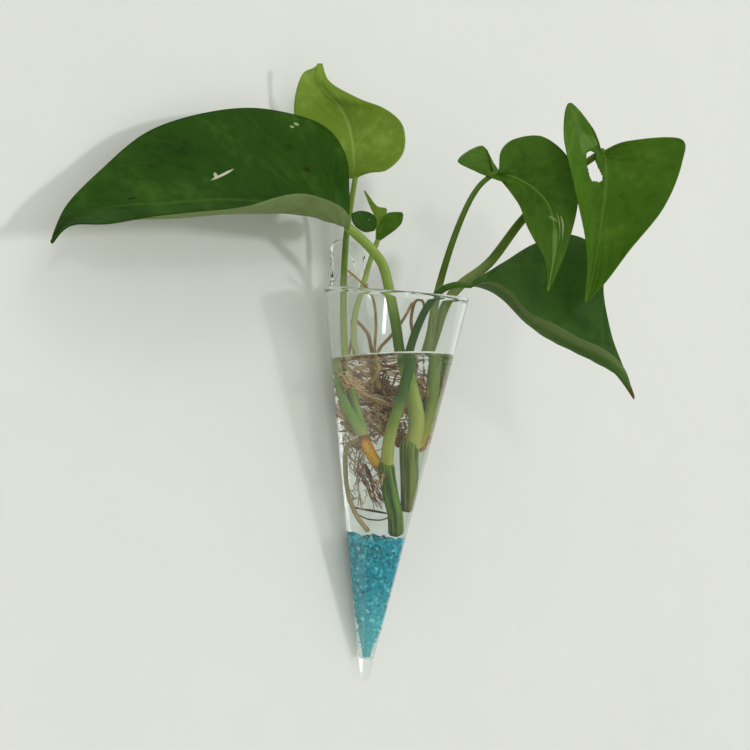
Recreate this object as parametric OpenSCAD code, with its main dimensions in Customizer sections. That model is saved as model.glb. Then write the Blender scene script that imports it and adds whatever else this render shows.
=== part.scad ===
// Wall-hung conical glass vase with gravel, water and a bunch of rooted vine cuttings.
// The origin is the centre of the hanging hole on the wall plane. +Y goes into the wall,
// +Z is up. The vase leans forward by its own half angle, so its back edge lies on the wall.

/* [Vessel] */
// Outer diameter of the rim
rim_diameter = 66; // [60:1:72]
// Length of the cone along its axis, blunt tip to rim
cone_length = 178; // [165:1:190]
// Diameter of the blunt glass tip
tip_diameter = 4.2; // [3.6:0.1:5]
// Wall thickness of the glass
glass_thickness = 1.6; // [1.2:0.1:2]
// Solid glass between the blunt tip and the bottom of the hollow
solid_tip_length = 9; // [7:0.5:12]
// How much thicker than the wall the melted rim is
rim_swell = 0.5; // [0.3:0.1:0.9]

/* [Hanging tab] */
// Width of the tab
tab_width = 24; // [20:1:28]
// Tab height above the centre of the hole
tab_above_hole = 12; // [10:1:16]
// Height of the hole's centre above the back of the rim
hole_above_rim = 12; // [10:1:16]
// Radius of the tab's top corners
tab_corner_radius = 10; // [5:1:10]
// Radius where the tab runs into the rim
tab_foot_radius = 4; // [2:0.5:6]
// Diameter of the hanging hole
hole_diameter = 11; // [6:0.5:12]

/* [Filling] */
// Drop from the back of the rim to the water
water_below_rim = 35.4; // [30:1:45]
// Depth of the gravel along the axis of the cone
gravel_depth = 59; // [52:1:64]
// Size of one chip of gravel
chip_size = 4.4; // [3.8:0.2:5]

/* [Cuttings] */
// Length of the large leaf
large_leaf_length = 142; // [128:1:156]
// Length of the light green leaf
light_leaf_length = 56; // [50:1:62]
// Length of the leaf over the front of the rim
front_leaf_length = 98; // [88:1:108]
// Length of the curled leaf
curled_leaf_length = 66; // [60:1:72]
// Length of the notched leaf
notched_leaf_length = 76; // [70:1:82]
// Length of the young leaf
young_leaf_length = 16; // [13:1:19]
// Length of the sheath beside it
sheath_length = 24; // [20:1:28]
// Thickness of a leaf at its midrib
leaf_thickness = 0.8; // [0.6:0.1:1.1]
// Diameter of the thick leaf stalks
stalk_diameter = 4.6; // [4:0.2:5.2]
// Diameter of the thin leaf stalks
thin_stalk_diameter = 3; // [2.4:0.2:3.6]
// Diameter of the middle vine piece
middle_vine_diameter = 7.4; // [6.6:0.2:8]
// Diameter of the front vine piece
front_vine_diameter = 5.6; // [5:0.2:6.2]
// Diameter of the yellowed stub
stub_diameter = 4.4; // [3.8:0.2:5]
// Diameter of the anchor root
anchor_root_diameter = 2.2; // [1.8:0.1:2.8]
// Diameter of the tangled roots
root_diameter = 1.3; // [1:0.1:1.6]
// Diameter of the fine roots
fine_root_diameter = 0.7; // [0.5:0.1:0.9]

/* [Hidden] */

// One overrun for every cut.
overrun = 2;
// Gap between the glass and what fills it, and round what stands in the water.
fill_gap = 0.06;
stem_gap = 0.12;
// Least room between the glass and the middle line of a stalk or a root.
stalk_room = 3;
root_room = 1.2;

// Shape of the cone. Heights along its axis are measured from the virtual apex.
half_angle = atan((rim_diameter - tip_diameter) / 2 / cone_length);
rim_height = rim_diameter / 2 / tan(half_angle);
tip_height = tip_diameter / 2 / tan(half_angle);
cavity_height = tip_height + solid_tip_length;
gravel_top = cavity_height + gravel_depth;
apex = [0, 0, -hole_above_rim - rim_height / cos(half_angle)];
wall_across = glass_thickness / cos(half_angle);
water_level = -hole_above_rim - water_below_rim;
// The cone goes on past the rim as far as the tab needs.
tab_height = (tab_above_hole + overrun - apex[2]) * cos(half_angle);
tab_corner = min(tab_corner_radius, tab_width / 2 - overrun / 2);
tip_round_radius = tip_diameter / 2 / cos(half_angle);
tip_round_height = tip_height + tip_round_radius * sin(half_angle);

function outer_radius(h) = h * tan(half_angle);
function inner_radius(h) = h * tan(half_angle) - wall_across;
function unit(v) = v / norm(v);

// From the cone's own axes (right, towards the wall, along the axis) to the part's axes.
function placed(q) = apex + [
  q[0],
  q[1] * cos(half_angle) - q[2] * sin(half_angle),
  q[1] * sin(half_angle) + q[2] * cos(half_angle)
];

// A point in the vase: shares of the free radius to the right and to the wall, and the
// share of the way from the gravel's top to the rim.
function in_vase(s, room) = let(
  h = gravel_top + s[2] * (rim_height - gravel_top),
  r = inner_radius(h) - room
) placed([r * s[0], r * s[1], h]);

// Smooth curve through a list of points, u from 0 to 1.
function between(a, b, c, d, t) =
  (2 * b + (c - a) * t + (2 * a - 5 * b + 4 * c - d) * t * t + (3 * b - a - 3 * c + d) * t * t * t) / 2;
function along(p, u) = let(
  n = len(p) - 1,
  k = min(floor(u * n), n - 1)
) between(p[max(k - 1, 0)], p[k], p[k + 1], p[min(k + 2, n)], u * n - k);
function sampled(p, steps) = [for (i = [0:steps]) along(p, i / steps)];
function route(shares, room, steps) = sampled([for (s = shares) in_vase(s, room)], steps);

// Rings that don't twist: each side vector is carried on from the ring before.
function heading(p, i) = unit(p[min(i + 1, len(p) - 1)] - p[max(i - 1, 0)]);
function carried(p, side, i = 0) = i == len(p) ? [] : let(
  t = heading(p, i),
  s = unit(side - (side * t) * t)
) concat([s], carried(p, s, i + 1));

// A solid stem along path q. Diameters are given for its start, middle and end.
module stem(q, diameters, sides, grow = 0) {
  last = len(q) - 1;
  p = [for (i = [0:last]) q[i] + heading(q, i) * (i == 0 ? -grow : i == last ? grow : 0)];
  across = carried(p, abs(heading(p, 0)[1]) < 0.9 ? [0, 1, 0] : [1, 0, 0]);
  points = [for (i = [0:last]) let(
    v = cross(heading(p, i), across[i]),
    r = along(diameters, i / last) / 2 + grow
  ) for (k = [0:sides - 1]) p[i] + r * (across[i] * cos(360 * k / sides) + v * sin(360 * k / sides))];
  faces = concat(
    [[for (k = [0:sides - 1]) k]],
    [[for (k = [sides - 1:-1:0]) last * sides + k]],
    [for (i = [0:last - 1]) for (k = [0:sides - 1]) let(n = (k + 1) % sides)
      [i * sides + n, i * sides + k, (i + 1) * sides + k]],
    [for (i = [0:last - 1]) for (k = [0:sides - 1]) let(n = (k + 1) % sides)
      [i * sides + n, (i + 1) * sides + k, (i + 1) * sides + n]]
  );
  polyhedron(points, faces, convexity = 6);
}

// A leaf blade between three lines, the midrib and its two edges, each a table of shares
// of the leaf's length from the end of its stalk.
leaf_grid = [14, 8];
small_leaf_grid = [8, 4];
// The edge of a leaf is this share of its midrib's thickness.
leaf_edge_share = 0.45;

module leaf(base, size, rib, left, right, cells = leaf_grid) {
  rows = cells[0];
  columns = cells[1];
  grid = [for (i = [0:rows]) let(
    u = i / rows,
    m = along(rib, u),
    l = along(left, u),
    r = along(right, u)
  ) [for (j = [0:columns]) let(s = 2 * j / columns - 1)
    base + size * (m + s * (r - l) / 2 + s * s * ((r + l) / 2 - m))]];
  normals = [for (i = [0:rows]) [for (j = [0:columns])
    unit(cross(
      grid[i][min(j + 1, columns)] - grid[i][max(j - 1, 0)],
      grid[min(i + 1, rows)][j] - grid[max(i - 1, 0)][j]
    ))]];
  function half_thick(j) = let(s = 2 * j / columns - 1)
    leaf_thickness / 2 * (1 - (1 - leaf_edge_share) * abs(s));
  wide = columns + 1;
  count = wide * (rows + 1);
  points = concat(
    [for (i = [0:rows]) for (j = [0:columns]) grid[i][j] + half_thick(j) * normals[i][j]],
    [for (i = [0:rows]) for (j = [0:columns]) grid[i][j] - half_thick(j) * normals[i][j]]
  );
  rim = concat(
    [for (j = [0:columns - 1]) j],
    [for (i = [0:rows - 1]) i * wide + columns],
    [for (j = [columns:-1:1]) rows * wide + j],
    [for (i = [rows:-1:1]) i * wide]
  );
  squares = [for (i = [0:rows - 1]) for (j = [0:columns - 1]) i * wide + j];
  faces = concat(
    [for (a = squares) [a, a + wide, a + 1]],
    [for (a = squares) [a + 1, a + wide, a + wide + 1]],
    [for (a = squares) [count + a, count + a + 1, count + a + wide]],
    [for (a = squares) [count + a + 1, count + a + wide + 1, count + a + wide]],
    [for (k = [0:len(rim) - 1]) let(a = rim[k], b = rim[(k + 1) % len(rim)]) [a, b, count + b]],
    [for (k = [0:len(rim) - 1]) let(a = rim[k], b = rim[(k + 1) % len(rim)]) [a, count + b, count + a]]
  );
  polyhedron(points, faces, convexity = 8);
}

// Glass vessel

tip_arc_steps = 5;

// Half section of the cone, with a rounded solid tip, up to a height along the axis.
function shell_section(top) = concat(
  [for (k = [0:tip_arc_steps]) let(a = k / tip_arc_steps * (90 - half_angle))
    [tip_round_radius * sin(a), tip_round_height - tip_round_radius * cos(a)]],
  [[outer_radius(top), top], [inner_radius(top), top]],
  [[inner_radius(cavity_height), cavity_height], [0, cavity_height]]
);

module tab_outline() {
  translate([-tab_width / 2, -hole_above_rim - overrun])
    square([tab_width, hole_above_rim + overrun + tab_above_hole - tab_corner]);
  translate([tab_corner - tab_width / 2, -hole_above_rim])
    square([tab_width - 2 * tab_corner, hole_above_rim + tab_above_hole]);
  for (side = [-1, 1])
    translate([side * (tab_width / 2 - tab_corner), tab_above_hole - tab_corner])
      circle(r = tab_corner, $fn = 72);
  difference() {
    translate([-tab_width / 2 - tab_foot_radius, -hole_above_rim - overrun])
      square([tab_width + 2 * tab_foot_radius, tab_foot_radius + overrun]);
    for (side = [-1, 1])
      translate([side * (tab_width / 2 + tab_foot_radius), tab_foot_radius - hole_above_rim])
        circle(r = tab_foot_radius, $fn = 72);
  }
}

module in_cone_axes() {
  translate(apex)
    rotate([half_angle, 0, 0])
      children();
}

module glass_vessel() {
  color([0.86, 0.92, 0.9, 0.35])
    difference() {
      union() {
        difference() {
          in_cone_axes()
            rotate_extrude($fn = 128)
              polygon(shell_section(tab_height));
          // Everything above the rim goes, except the tab at the back.
          difference() {
            in_cone_axes()
              translate([-rim_diameter, -rim_diameter, rim_height])
                cube([2 * rim_diameter, 2 * rim_diameter, tab_height]);
            rotate([90, 0, 0])
              translate([0, 0, -overrun])
                linear_extrude(rim_diameter / 2 + overrun)
                  tab_outline();
          }
        }
        in_cone_axes()
          translate([0, 0, rim_height])
            rotate_extrude($fn = 128)
              translate([outer_radius(rim_height) - wall_across / 2, 0])
                circle(d = glass_thickness + rim_swell, $fn = 32);
      }
      rotate([90, 0, 0])
        translate([0, 0, -overrun])
          cylinder(d = hole_diameter, h = rim_diameter / 2 + overrun, $fn = 72);
    }
}

// Gravel

// Chips lie on a spiral, each turned by the golden angle from the one before.
golden_angle = 137.5;
side_chips = 42;
top_chips = 12;
// Shares of the chip's size: its thickness, and how far the bed lies behind the chips.
chip_thickness_share = 0.6;
chip_bed_share = 0.4;
gravel_gap = 0.3;
chip_turns = rands(0, 360, 3 * (side_chips + top_chips), 41);
bed_top = gravel_top - chip_size * chip_bed_share;
first_chip_height = (wall_across + gravel_gap + chip_size * 0.6) / tan(half_angle);

function chip_place(h) = inner_radius(h) - gravel_gap - chip_size * 0.55;

// An angular chip, tilted its own way.
module chip(k) {
  rotate([chip_turns[3 * k], chip_turns[3 * k + 1], chip_turns[3 * k + 2]])
    hull() {
      cylinder(d = chip_size, h = chip_size * chip_thickness_share / 2, $fn = 5);
      translate([0, 0, -chip_size * chip_thickness_share / 2])
        cylinder(d = chip_size * chip_thickness_share, h = chip_size * chip_thickness_share, $fn = 3);
    }
}

module top_layer() {
  in_cone_axes()
    difference() {
      for (k = [0:top_chips - 1])
        rotate([0, 0, golden_angle * k])
          translate([chip_place(bed_top) * sqrt(k / top_chips), 0, bed_top])
            chip(side_chips + k);
      // The chips stay under the stems, which stand on them.
      translate([0, 0, gravel_top - gravel_gap])
        cylinder(r = rim_diameter, h = chip_size, $fn = 8);
    }
}

module gravel() {
  color([0.25, 0.66, 0.7]) {
    in_cone_axes() {
      translate([0, 0, cavity_height + chip_size * chip_bed_share])
        cylinder(r1 = inner_radius(cavity_height) - gravel_gap,
          r2 = inner_radius(bed_top) - gravel_gap - chip_size * chip_bed_share,
          h = bed_top - cavity_height - chip_size * chip_bed_share, $fn = 20);
      for (k = [0:side_chips - 1]) {
        h = first_chip_height + (bed_top - chip_size * 0.6 - first_chip_height) * sqrt(k / side_chips);
        rotate([0, 0, golden_angle * k])
          translate([chip_place(h), 0, h])
            chip(k);
      }
    }
    top_layer();
  }
}

// Water

module water() {
  color([0.8, 0.9, 0.9, 0.3])
    difference() {
      intersection() {
        in_cone_axes()
          translate([0, 0, bed_top])
            cylinder(r1 = inner_radius(bed_top) - fill_gap, r2 = inner_radius(rim_height) - fill_gap,
              h = rim_height - bed_top, $fn = 64);
        translate([-rim_diameter, -2 * rim_diameter, water_level - cone_length])
          cube([2 * rim_diameter, 4 * rim_diameter, cone_length]);
      }
      top_layer();
      front_vine(stem_gap);
      middle_vine(stem_gap);
      stub(stem_gap);
      leaf_stalks(stem_gap);
      tangle_strands(stem_gap);
      fine_strands(stem_gap);
      anchor_strand(stem_gap);
      loop_strands(stem_gap);
    }
}

// Vine pieces and leaf stalks. Rows are shares for in_vase.

front_vine_shares = [[0.32, -0.72, 0.02], [0.17, -0.6, 0.1], [0, -0.46, 0.17], [-0.2, -0.28, 0.304]];
middle_vine_shares = [[0.64, -0.67, 0.124], [0.49, -0.52, 0.246], [0.4, -0.43, 0.33], [0.36, -0.39, 0.397]];
stub_shares = [[-0.25, -0.2, 0.285], [-0.36, -0.02, 0.33], [-0.43, 0.12, 0.38], [-0.45, 0.2, 0.421]];
large_stalk_shares = [
  [0.4, -0.44, 0.385], [0.36, -0.45, 0.5], [0.2, -0.34, 0.62], [0.1, -0.24, 0.709], [0.05, -0.14, 0.78],
  [0, -0.04, 0.88], [-0.1, 0.06, 1.01], [-0.22, 0.11, 1.11], [-0.43, 0.14, 1.17], [-0.65, 0.18, 1.215],
  [-0.84, 0.2, 1.249]
];
light_stalk_shares = [
  [-0.44, 0.2, 0.42], [-0.59, 0.47, 0.524], [-0.67, 0.6, 0.609], [-0.63, 0.63, 0.7], [-0.6, 0.68, 0.8],
  [-0.51, 0.7, 1], [-0.4, 0.69, 1.209], [-0.37, 0.62, 1.326], [-0.36, 0.51, 1.466]
];
young_stalk_shares = [
  [-0.38, 0.15, 0.4], [-0.38, 0.38, 0.52], [-0.3, 0.55, 0.62], [-0.28, 0.68, 0.71], [-0.29, 0.74, 0.8],
  [-0.24, 0.72, 0.904], [-0.14, 0.64, 1.007], [-0.02, 0.58, 1.128], [0.04, 0.49, 1.219]
];
curled_stalk_shares = [
  [0.54, -0.44, 0.392], [0.6, -0.46, 0.48], [0.57, -0.46, 0.6], [0.5, -0.43, 0.728], [0.52, -0.44, 0.85],
  [0.55, -0.38, 1.007], [0.61, -0.4, 1.203], [0.69, -0.45, 1.374], [0.76, -0.53, 1.479], [0.86, -0.65, 1.542]
];
notched_stalk_shares = [
  [0.54, -0.35, 0.39], [0.76, -0.25, 0.47], [0.84, -0.2, 0.6], [0.81, -0.22, 0.7], [0.82, -0.3, 0.82],
  [0.83, -0.38, 0.97], [0.94, -0.48, 1.06], [1.25, -0.67, 1.171], [1.48, -0.8, 1.363], [1.66, -1.02, 1.538],
  [1.72, -1.38, 1.673]
];
front_stalk_shares = [
  [-0.2, -0.33, 0.306], [-0.26, -0.4, 0.433], [-0.16, -0.46, 0.56], [-0.07, -0.48, 0.7], [-0.03, -0.52, 0.82],
  [0.02, -0.65, 0.944], [0.07, -0.83, 1.02], [0.17, -1.01, 1.052], [0.44, -1.1, 1.058]
];
stalk_steps = 14;
stalk_sides = 8;

large_stalk_path = route(large_stalk_shares, stalk_room, stalk_steps);
light_stalk_path = route(light_stalk_shares, stalk_room, stalk_steps);
young_stalk_path = route(young_stalk_shares, stalk_room, stalk_steps);
curled_stalk_path = route(curled_stalk_shares, stalk_room, stalk_steps);
notched_stalk_path = route(notched_stalk_shares, stalk_room, stalk_steps);
front_stalk_path = route(front_stalk_shares, stalk_room, stalk_steps);

module front_vine(grow = 0) {
  stem(route(front_vine_shares, stalk_room, 6),
    [front_vine_diameter * 1.04, front_vine_diameter, front_vine_diameter, front_vine_diameter * 1.15], 12, grow);
}

module middle_vine(grow = 0) {
  stem(route(middle_vine_shares, stalk_room, 6),
    [middle_vine_diameter * 0.96, middle_vine_diameter, middle_vine_diameter, middle_vine_diameter * 1.08], 12, grow);
}

module stub(grow = 0) {
  stem(route(stub_shares, stalk_room, 5), [stub_diameter, stub_diameter * 0.95, stub_diameter * 0.8], 8, grow);
}

module large_stalk(grow = 0) {
  stem(large_stalk_path, [stalk_diameter * 1.3, stalk_diameter * 1.1, stalk_diameter, stalk_diameter * 0.9],
    stalk_sides, grow);
}

module light_stalk(grow = 0) {
  stem(light_stalk_path, [thin_stalk_diameter * 1.5, thin_stalk_diameter * 1.2, thin_stalk_diameter,
    thin_stalk_diameter * 0.8], stalk_sides, grow);
}

module young_stalk(grow = 0) {
  stem(young_stalk_path, [thin_stalk_diameter, thin_stalk_diameter, thin_stalk_diameter * 0.8],
    stalk_sides, grow);
}

module curled_stalk(grow = 0) {
  stem(curled_stalk_path, [stalk_diameter, stalk_diameter, thin_stalk_diameter, thin_stalk_diameter * 0.8],
    stalk_sides, grow);
}

module notched_stalk(grow = 0) {
  stem(notched_stalk_path, [stalk_diameter, stalk_diameter, stalk_diameter, thin_stalk_diameter],
    stalk_sides, grow);
}

module front_stalk(grow = 0) {
  stem(front_stalk_path, [stalk_diameter * 1.05, stalk_diameter * 0.9, thin_stalk_diameter * 1.1,
    thin_stalk_diameter * 0.9], stalk_sides, grow);
}

module leaf_stalks(grow = 0) {
  large_stalk(grow);
  light_stalk(grow);
  young_stalk(grow);
  curled_stalk(grow);
  notched_stalk(grow);
  front_stalk(grow);
}

module front_vine_piece() {
  color([0.25, 0.45, 0.15])
    front_vine();
}

module middle_vine_piece() {
  color([0.35, 0.45, 0.22])
    middle_vine();
}

module vine_stub() {
  color([0.85, 0.6, 0.2])
    stub();
}

module large_leaf_stalk() {
  color([0.4, 0.55, 0.25])
    large_stalk();
}

module light_leaf_stalk() {
  color([0.55, 0.68, 0.38])
    light_stalk();
}

module young_leaf_stalk() {
  color([0.6, 0.72, 0.42])
    young_stalk();
}

module curled_leaf_stalk() {
  color([0.45, 0.6, 0.28])
    curled_stalk();
}

module notched_leaf_stalk() {
  color([0.42, 0.56, 0.25])
    notched_stalk();
}

module front_leaf_stalk() {
  color([0.2, 0.42, 0.15])
    front_stalk();
}

// Leaves. Rows are shares of the leaf's length: right, towards the wall, up.

large_rib_shares = [
  [0, 0, 0], [-0.04, -0.005, 0.005], [-0.095, -0.015, 0.015], [-0.2, -0.02, 0.03], [-0.33, -0.02, 0.03],
  [-0.495, -0.005, 0.02], [-0.68, 0.02, -0.01], [-0.83, 0.05, -0.035], [-0.93, 0.065, -0.075],
  [-0.98, 0.075, -0.14]
];
large_far_shares = [
  [0.005, 0.005, 0.01], [0.045, 0.03, 0.11], [0.055, 0.05, 0.24], [-0.03, 0.075, 0.335],
  [-0.22, 0.1, 0.355], [-0.42, 0.115, 0.31], [-0.645, 0.12, 0.215], [-0.815, 0.115, 0.07],
  [-0.925, 0.1, -0.045], [-0.98, 0.075, -0.135]
];
large_near_shares = [
  [-0.005, -0.005, -0.01], [-0.08, -0.09, 0], [-0.19, -0.15, 0.02], [-0.335, -0.19, 0.02],
  [-0.46, -0.19, -0.005], [-0.585, -0.16, -0.04], [-0.77, -0.105, -0.08], [-0.88, -0.05, -0.095],
  [-0.945, 0.03, -0.1], [-0.98, 0.07, -0.142]
];
light_rib_shares = [
  [0, 0, 0], [-0.005, 0, 0.05], [-0.005, 0, 0.125], [-0.02, -0.01, 0.27], [-0.07, -0.02, 0.43],
  [-0.155, -0.02, 0.55], [-0.245, 0, 0.635], [-0.3, 0.035, 0.76], [-0.285, 0.07, 0.905]
];
light_left_shares = [
  [-0.01, 0.01, 0], [-0.07, 0.105, 0.01], [-0.205, 0.18, 0.07], [-0.355, 0.23, 0.225],
  [-0.415, 0.25, 0.48], [-0.415, 0.23, 0.665], [-0.355, 0.195, 0.84], [-0.33, 0.08, 0.87],
  [-0.305, 0.07, 0.905]
];
light_right_shares = [
  [0.01, -0.01, 0], [0.005, -0.16, 0.015], [0.085, -0.285, 0.025], [0.18, -0.375, 0.165],
  [0.19, -0.375, 0.38], [0.09, -0.285, 0.52], [-0.1, -0.16, 0.605], [-0.255, -0.01, 0.74],
  [-0.265, 0.06, 0.91]
];
front_rib_shares = [
  [0, 0, 0], [0.07, -0.025, -0.01], [0.145, -0.055, -0.045], [0.24, -0.12, -0.13], [0.33, -0.18, -0.19],
  [0.425, -0.24, -0.25], [0.525, -0.32, -0.35], [0.59, -0.375, -0.425], [0.675, -0.405, -0.54]
];
front_upper_shares = [
  [0, 0, 0.015], [0.115, 0.005, 0.065], [0.31, 0.025, 0.145], [0.525, 0.005, 0.245], [0.705, -0.1, 0.29],
  [0.765, -0.22, 0.185], [0.695, -0.26, -0.03], [0.64, -0.335, -0.265], [0.68, -0.405, -0.525]
];
front_lower_shares = [
  [-0.005, -0.005, -0.01], [-0.03, -0.12, 0.005], [-0.01, -0.21, -0.035], [0.05, -0.28, -0.12],
  [0.15, -0.335, -0.175], [0.285, -0.365, -0.225], [0.445, -0.405, -0.28], [0.59, -0.41, -0.365],
  [0.665, -0.41, -0.535]
];
curled_rib_shares = [
  [0, 0, 0], [0.03, -0.03, -0.015], [0.075, -0.1, -0.05], [0.13, -0.205, -0.13], [0.175, -0.295, -0.26],
  [0.175, -0.34, -0.435], [0.14, -0.345, -0.63], [0.065, -0.33, -0.875]
];
curled_left_shares = [
  [-0.02, 0.01, 0.01], [-0.015, 0.145, 0.215], [-0.085, 0.225, 0.14], [-0.02, 0.045, 0.015],
  [0.065, -0.11, -0.21], [0.065, -0.2, -0.425], [0.1, -0.3, -0.67], [0.055, -0.33, -0.87]
];
curled_right_shares = [
  [0.02, -0.015, 0.02], [0.045, -0.025, 0.16], [0.115, -0.1, 0.235], [0.225, -0.26, 0.225],
  [0.305, -0.405, 0.05], [0.295, -0.465, -0.225], [0.185, -0.415, -0.595], [0.075, -0.335, -0.87]
];
notched_rib_shares = [
  [0, 0, 0], [0.005, -0.005, -0.045], [-0.005, -0.015, -0.12], [-0.04, -0.02, -0.28],
  [-0.095, -0.02, -0.435], [-0.15, -0.015, -0.625], [-0.215, 0, -0.815], [-0.28, 0.005, -0.95]
];
notched_left_shares = [
  [-0.02, 0.005, 0.015], [-0.095, 0.005, 0.13], [-0.275, 0.045, 0.255], [-0.37, 0.025, 0.04],
  [-0.38, -0.02, -0.24], [-0.33, -0.055, -0.56], [-0.295, -0.025, -0.785], [-0.285, 0.005, -0.95]
];
notched_right_shares = [
  [0.02, -0.015, 0.01], [0.08, -0.14, 0.055], [0.22, -0.36, 0.035], [0.185, -0.405, -0.16],
  [0.065, -0.335, -0.415], [-0.09, -0.175, -0.67], [-0.205, -0.06, -0.86], [-0.275, 0, -0.95]
];
young_rib_shares = [
  [0, 0, 0], [0.095, -0.125, 0.255], [0.21, -0.31, 0.5], [0.36, -0.5, 0.675], [0.465, -0.625, 0.755]
];
young_left_shares = [
  [-0.03, -0.02, 0.03], [0, -0.17, 0.56], [0.105, -0.345, 0.77], [0.255, -0.54, 0.79],
  [0.43, -0.64, 0.775]
];
young_right_shares = [
  [0.04, 0.03, -0.02], [0.285, -0.06, 0.155], [0.46, -0.25, 0.32], [0.54, -0.48, 0.505],
  [0.485, -0.625, 0.72]
];
sheath_rib_shares = [
  [0, 0, 0], [0.08, 0, 0.28], [0.07, 0.02, 0.5], [-0.055, 0.05, 0.715], [-0.21, 0.085, 0.975]
];
sheath_left_shares = [
  [-0.03, 0.02, 0.01], [0.02, 0.05, 0.31], [-0.005, 0.06, 0.555], [-0.115, 0.075, 0.72],
  [-0.22, 0.085, 0.97]
];
sheath_right_shares = [
  [0.03, -0.02, 0.01], [0.14, -0.04, 0.35], [0.24, -0.06, 0.64], [0.035, 0.02, 0.7],
  [-0.195, 0.075, 0.965]
];

function tip_of(p) = p[len(p) - 1];

module large_leaf() {
  color([0.1, 0.32, 0.1])
    leaf(tip_of(large_stalk_path), large_leaf_length, large_rib_shares, large_far_shares, large_near_shares);
}

module light_leaf() {
  color([0.32, 0.52, 0.16])
    leaf(tip_of(light_stalk_path), light_leaf_length, light_rib_shares, light_left_shares, light_right_shares);
}

module front_leaf() {
  color([0.12, 0.34, 0.12])
    leaf(tip_of(front_stalk_path), front_leaf_length, front_rib_shares, front_upper_shares, front_lower_shares);
}

module curled_leaf() {
  color([0.2, 0.42, 0.14])
    leaf(tip_of(curled_stalk_path), curled_leaf_length, curled_rib_shares, curled_left_shares,
      curled_right_shares);
}

module notched_leaf() {
  color([0.14, 0.38, 0.12])
    leaf(tip_of(notched_stalk_path), notched_leaf_length, notched_rib_shares, notched_left_shares,
      notched_right_shares);
}

module young_leaf() {
  color([0.3, 0.5, 0.16])
    leaf(tip_of(young_stalk_path), young_leaf_length, young_rib_shares, young_left_shares, young_right_shares,
      small_leaf_grid);
}

module leaf_sheath() {
  color([0.5, 0.65, 0.3])
    leaf(tip_of(young_stalk_path), sheath_length, sheath_rib_shares, sheath_left_shares, sheath_right_shares,
      small_leaf_grid);
}

// Roots

root_steps = 8;

// Where roots grow from: an angle round the axis, and shares of the free radius and height.
front_node_shares = [234, 0.34, 0.275];
middle_node_shares = [313, 0.53, 0.4];
stub_node_shares = [156, 0.49, 0.4];

// A root winds away from its node. Rows: node, sweep in degrees, end shares of the free
// radius and of the height.
tangle_table = [
  [front_node_shares, 190, 0.92, 0.66], [middle_node_shares, 210, 0.9, 0.7],
  [stub_node_shares, -230, 0.93, 0.69], [middle_node_shares, -150, 0.9, 0.6],
  [front_node_shares, -170, 0.88, 0.56], [stub_node_shares, 150, 0.95, 0.63],
  [middle_node_shares, 95, 0.94, 0.53], [stub_node_shares, -120, 0.86, 0.5]
];
fine_table = [
  [front_node_shares, -66, 0.93, 0.37], [stub_node_shares, 75, 0.9, 0.2],
  [stub_node_shares, -44, 0.94, 0.24], [front_node_shares, -90, 0.93, 0.13],
  [stub_node_shares, 50, 0.94, 0.34], [front_node_shares, -30, 0.9, 0.1]
];

function winding(row, room) = [for (i = [0:root_steps]) let(
  t = i / root_steps,
  from = row[0],
  a = from[0] + row[1] * t,
  r = from[1] + (row[2] - from[1]) * sqrt(t),
  h = from[2] + (row[3] - from[2]) * t + 0.02 * sin(t * 720)
) in_vase([r * cos(a), r * sin(a), h], room)];

// The swelling that a root grows out of.
module collar(p, d, grow) {
  hull() {
    translate(p[0])
      sphere(d = d * 1.8 + 2 * grow, $fn = 4);
    translate(p[1])
      sphere(d = d + 2 * grow, $fn = 4);
  }
}

module tangle_strands(grow = 0) {
  for (row = tangle_table) {
    p = winding(row, root_room);
    stem(p, [root_diameter * 1.2, root_diameter, root_diameter * 0.7], 4, grow);
    collar(p, root_diameter, grow);
  }
}

module fine_strands(grow = 0) {
  for (row = fine_table) {
    p = winding(row, root_room);
    stem(p, [fine_root_diameter * 1.2, fine_root_diameter, fine_root_diameter * 0.7], 4, grow);
    collar(p, fine_root_diameter, grow);
  }
}

anchor_shares = [
  [-0.42, 0.05, 0.02], [-0.58, 0.4, 0.08], [-0.56, 0.64, 0.16], [-0.5, 0.68, 0.27], [-0.62, 0.5, 0.36],
  [-0.44, 0.2, 0.405]
];

module anchor_strand(grow = 0) {
  stem(route(anchor_shares, root_room + anchor_root_diameter / 2, root_steps),
    [anchor_root_diameter * 0.8, anchor_root_diameter, anchor_root_diameter], 6, grow);
}

loop_tables = [
  [[-0.1, 0.24, 0.6], [-0.03, 0.27, 0.67], [-0.1, 0.32, 0.753], [-0.05, 0.36, 0.866], [-0.09, 0.38, 0.961],
    [-0.24, 0.37, 1.012], [-0.48, 0.35, 1.049], [-0.67, 0.34, 1.077]],
  [[-0.09, 0.1, 0.62], [-0.07, 0.26, 0.695], [-0.06, 0.44, 0.758], [-0.02, 0.6, 0.83], [-0.1, 0.86, 0.88],
    [-0.1, 0.9, 0.81], [-0.2, 0.92, 0.73]],
  [[-0.31, 0.08, 0.64], [-0.2, 0.04, 0.7], [-0.19, 0.14, 0.76], [0.1, 0.12, 0.83], [0.31, 0.07, 0.904],
    [0.47, 0.08, 0.97]],
  [[0.51, 0.06, 0.69], [0.51, 0, 0.823], [0.5, 0.08, 0.898], [0.56, 0.1, 0.977], [0.66, 0.02, 0.98],
    [0.76, 0.02, 0.913]]
];

module loop_strands(grow = 0) {
  for (table = loop_tables)
    stem(route(table, root_room, 9), [root_diameter, root_diameter, root_diameter * 0.7], 4, grow);
}

// Vines and stalks have the room first: roots are cut where they meet them.
module standing_stems() {
  front_vine();
  middle_vine();
  stub();
  leaf_stalks();
}

module root_tangle() {
  color([0.6, 0.48, 0.33])
    difference() {
      tangle_strands();
      standing_stems();
      anchor_strand();
    }
}

module fine_roots() {
  color([0.25, 0.18, 0.12])
    difference() {
      fine_strands();
      standing_stems();
      tangle_strands();
      anchor_strand();
    }
}

module anchor_root() {
  color([0.72, 0.65, 0.48])
    anchor_strand();
}

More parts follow.
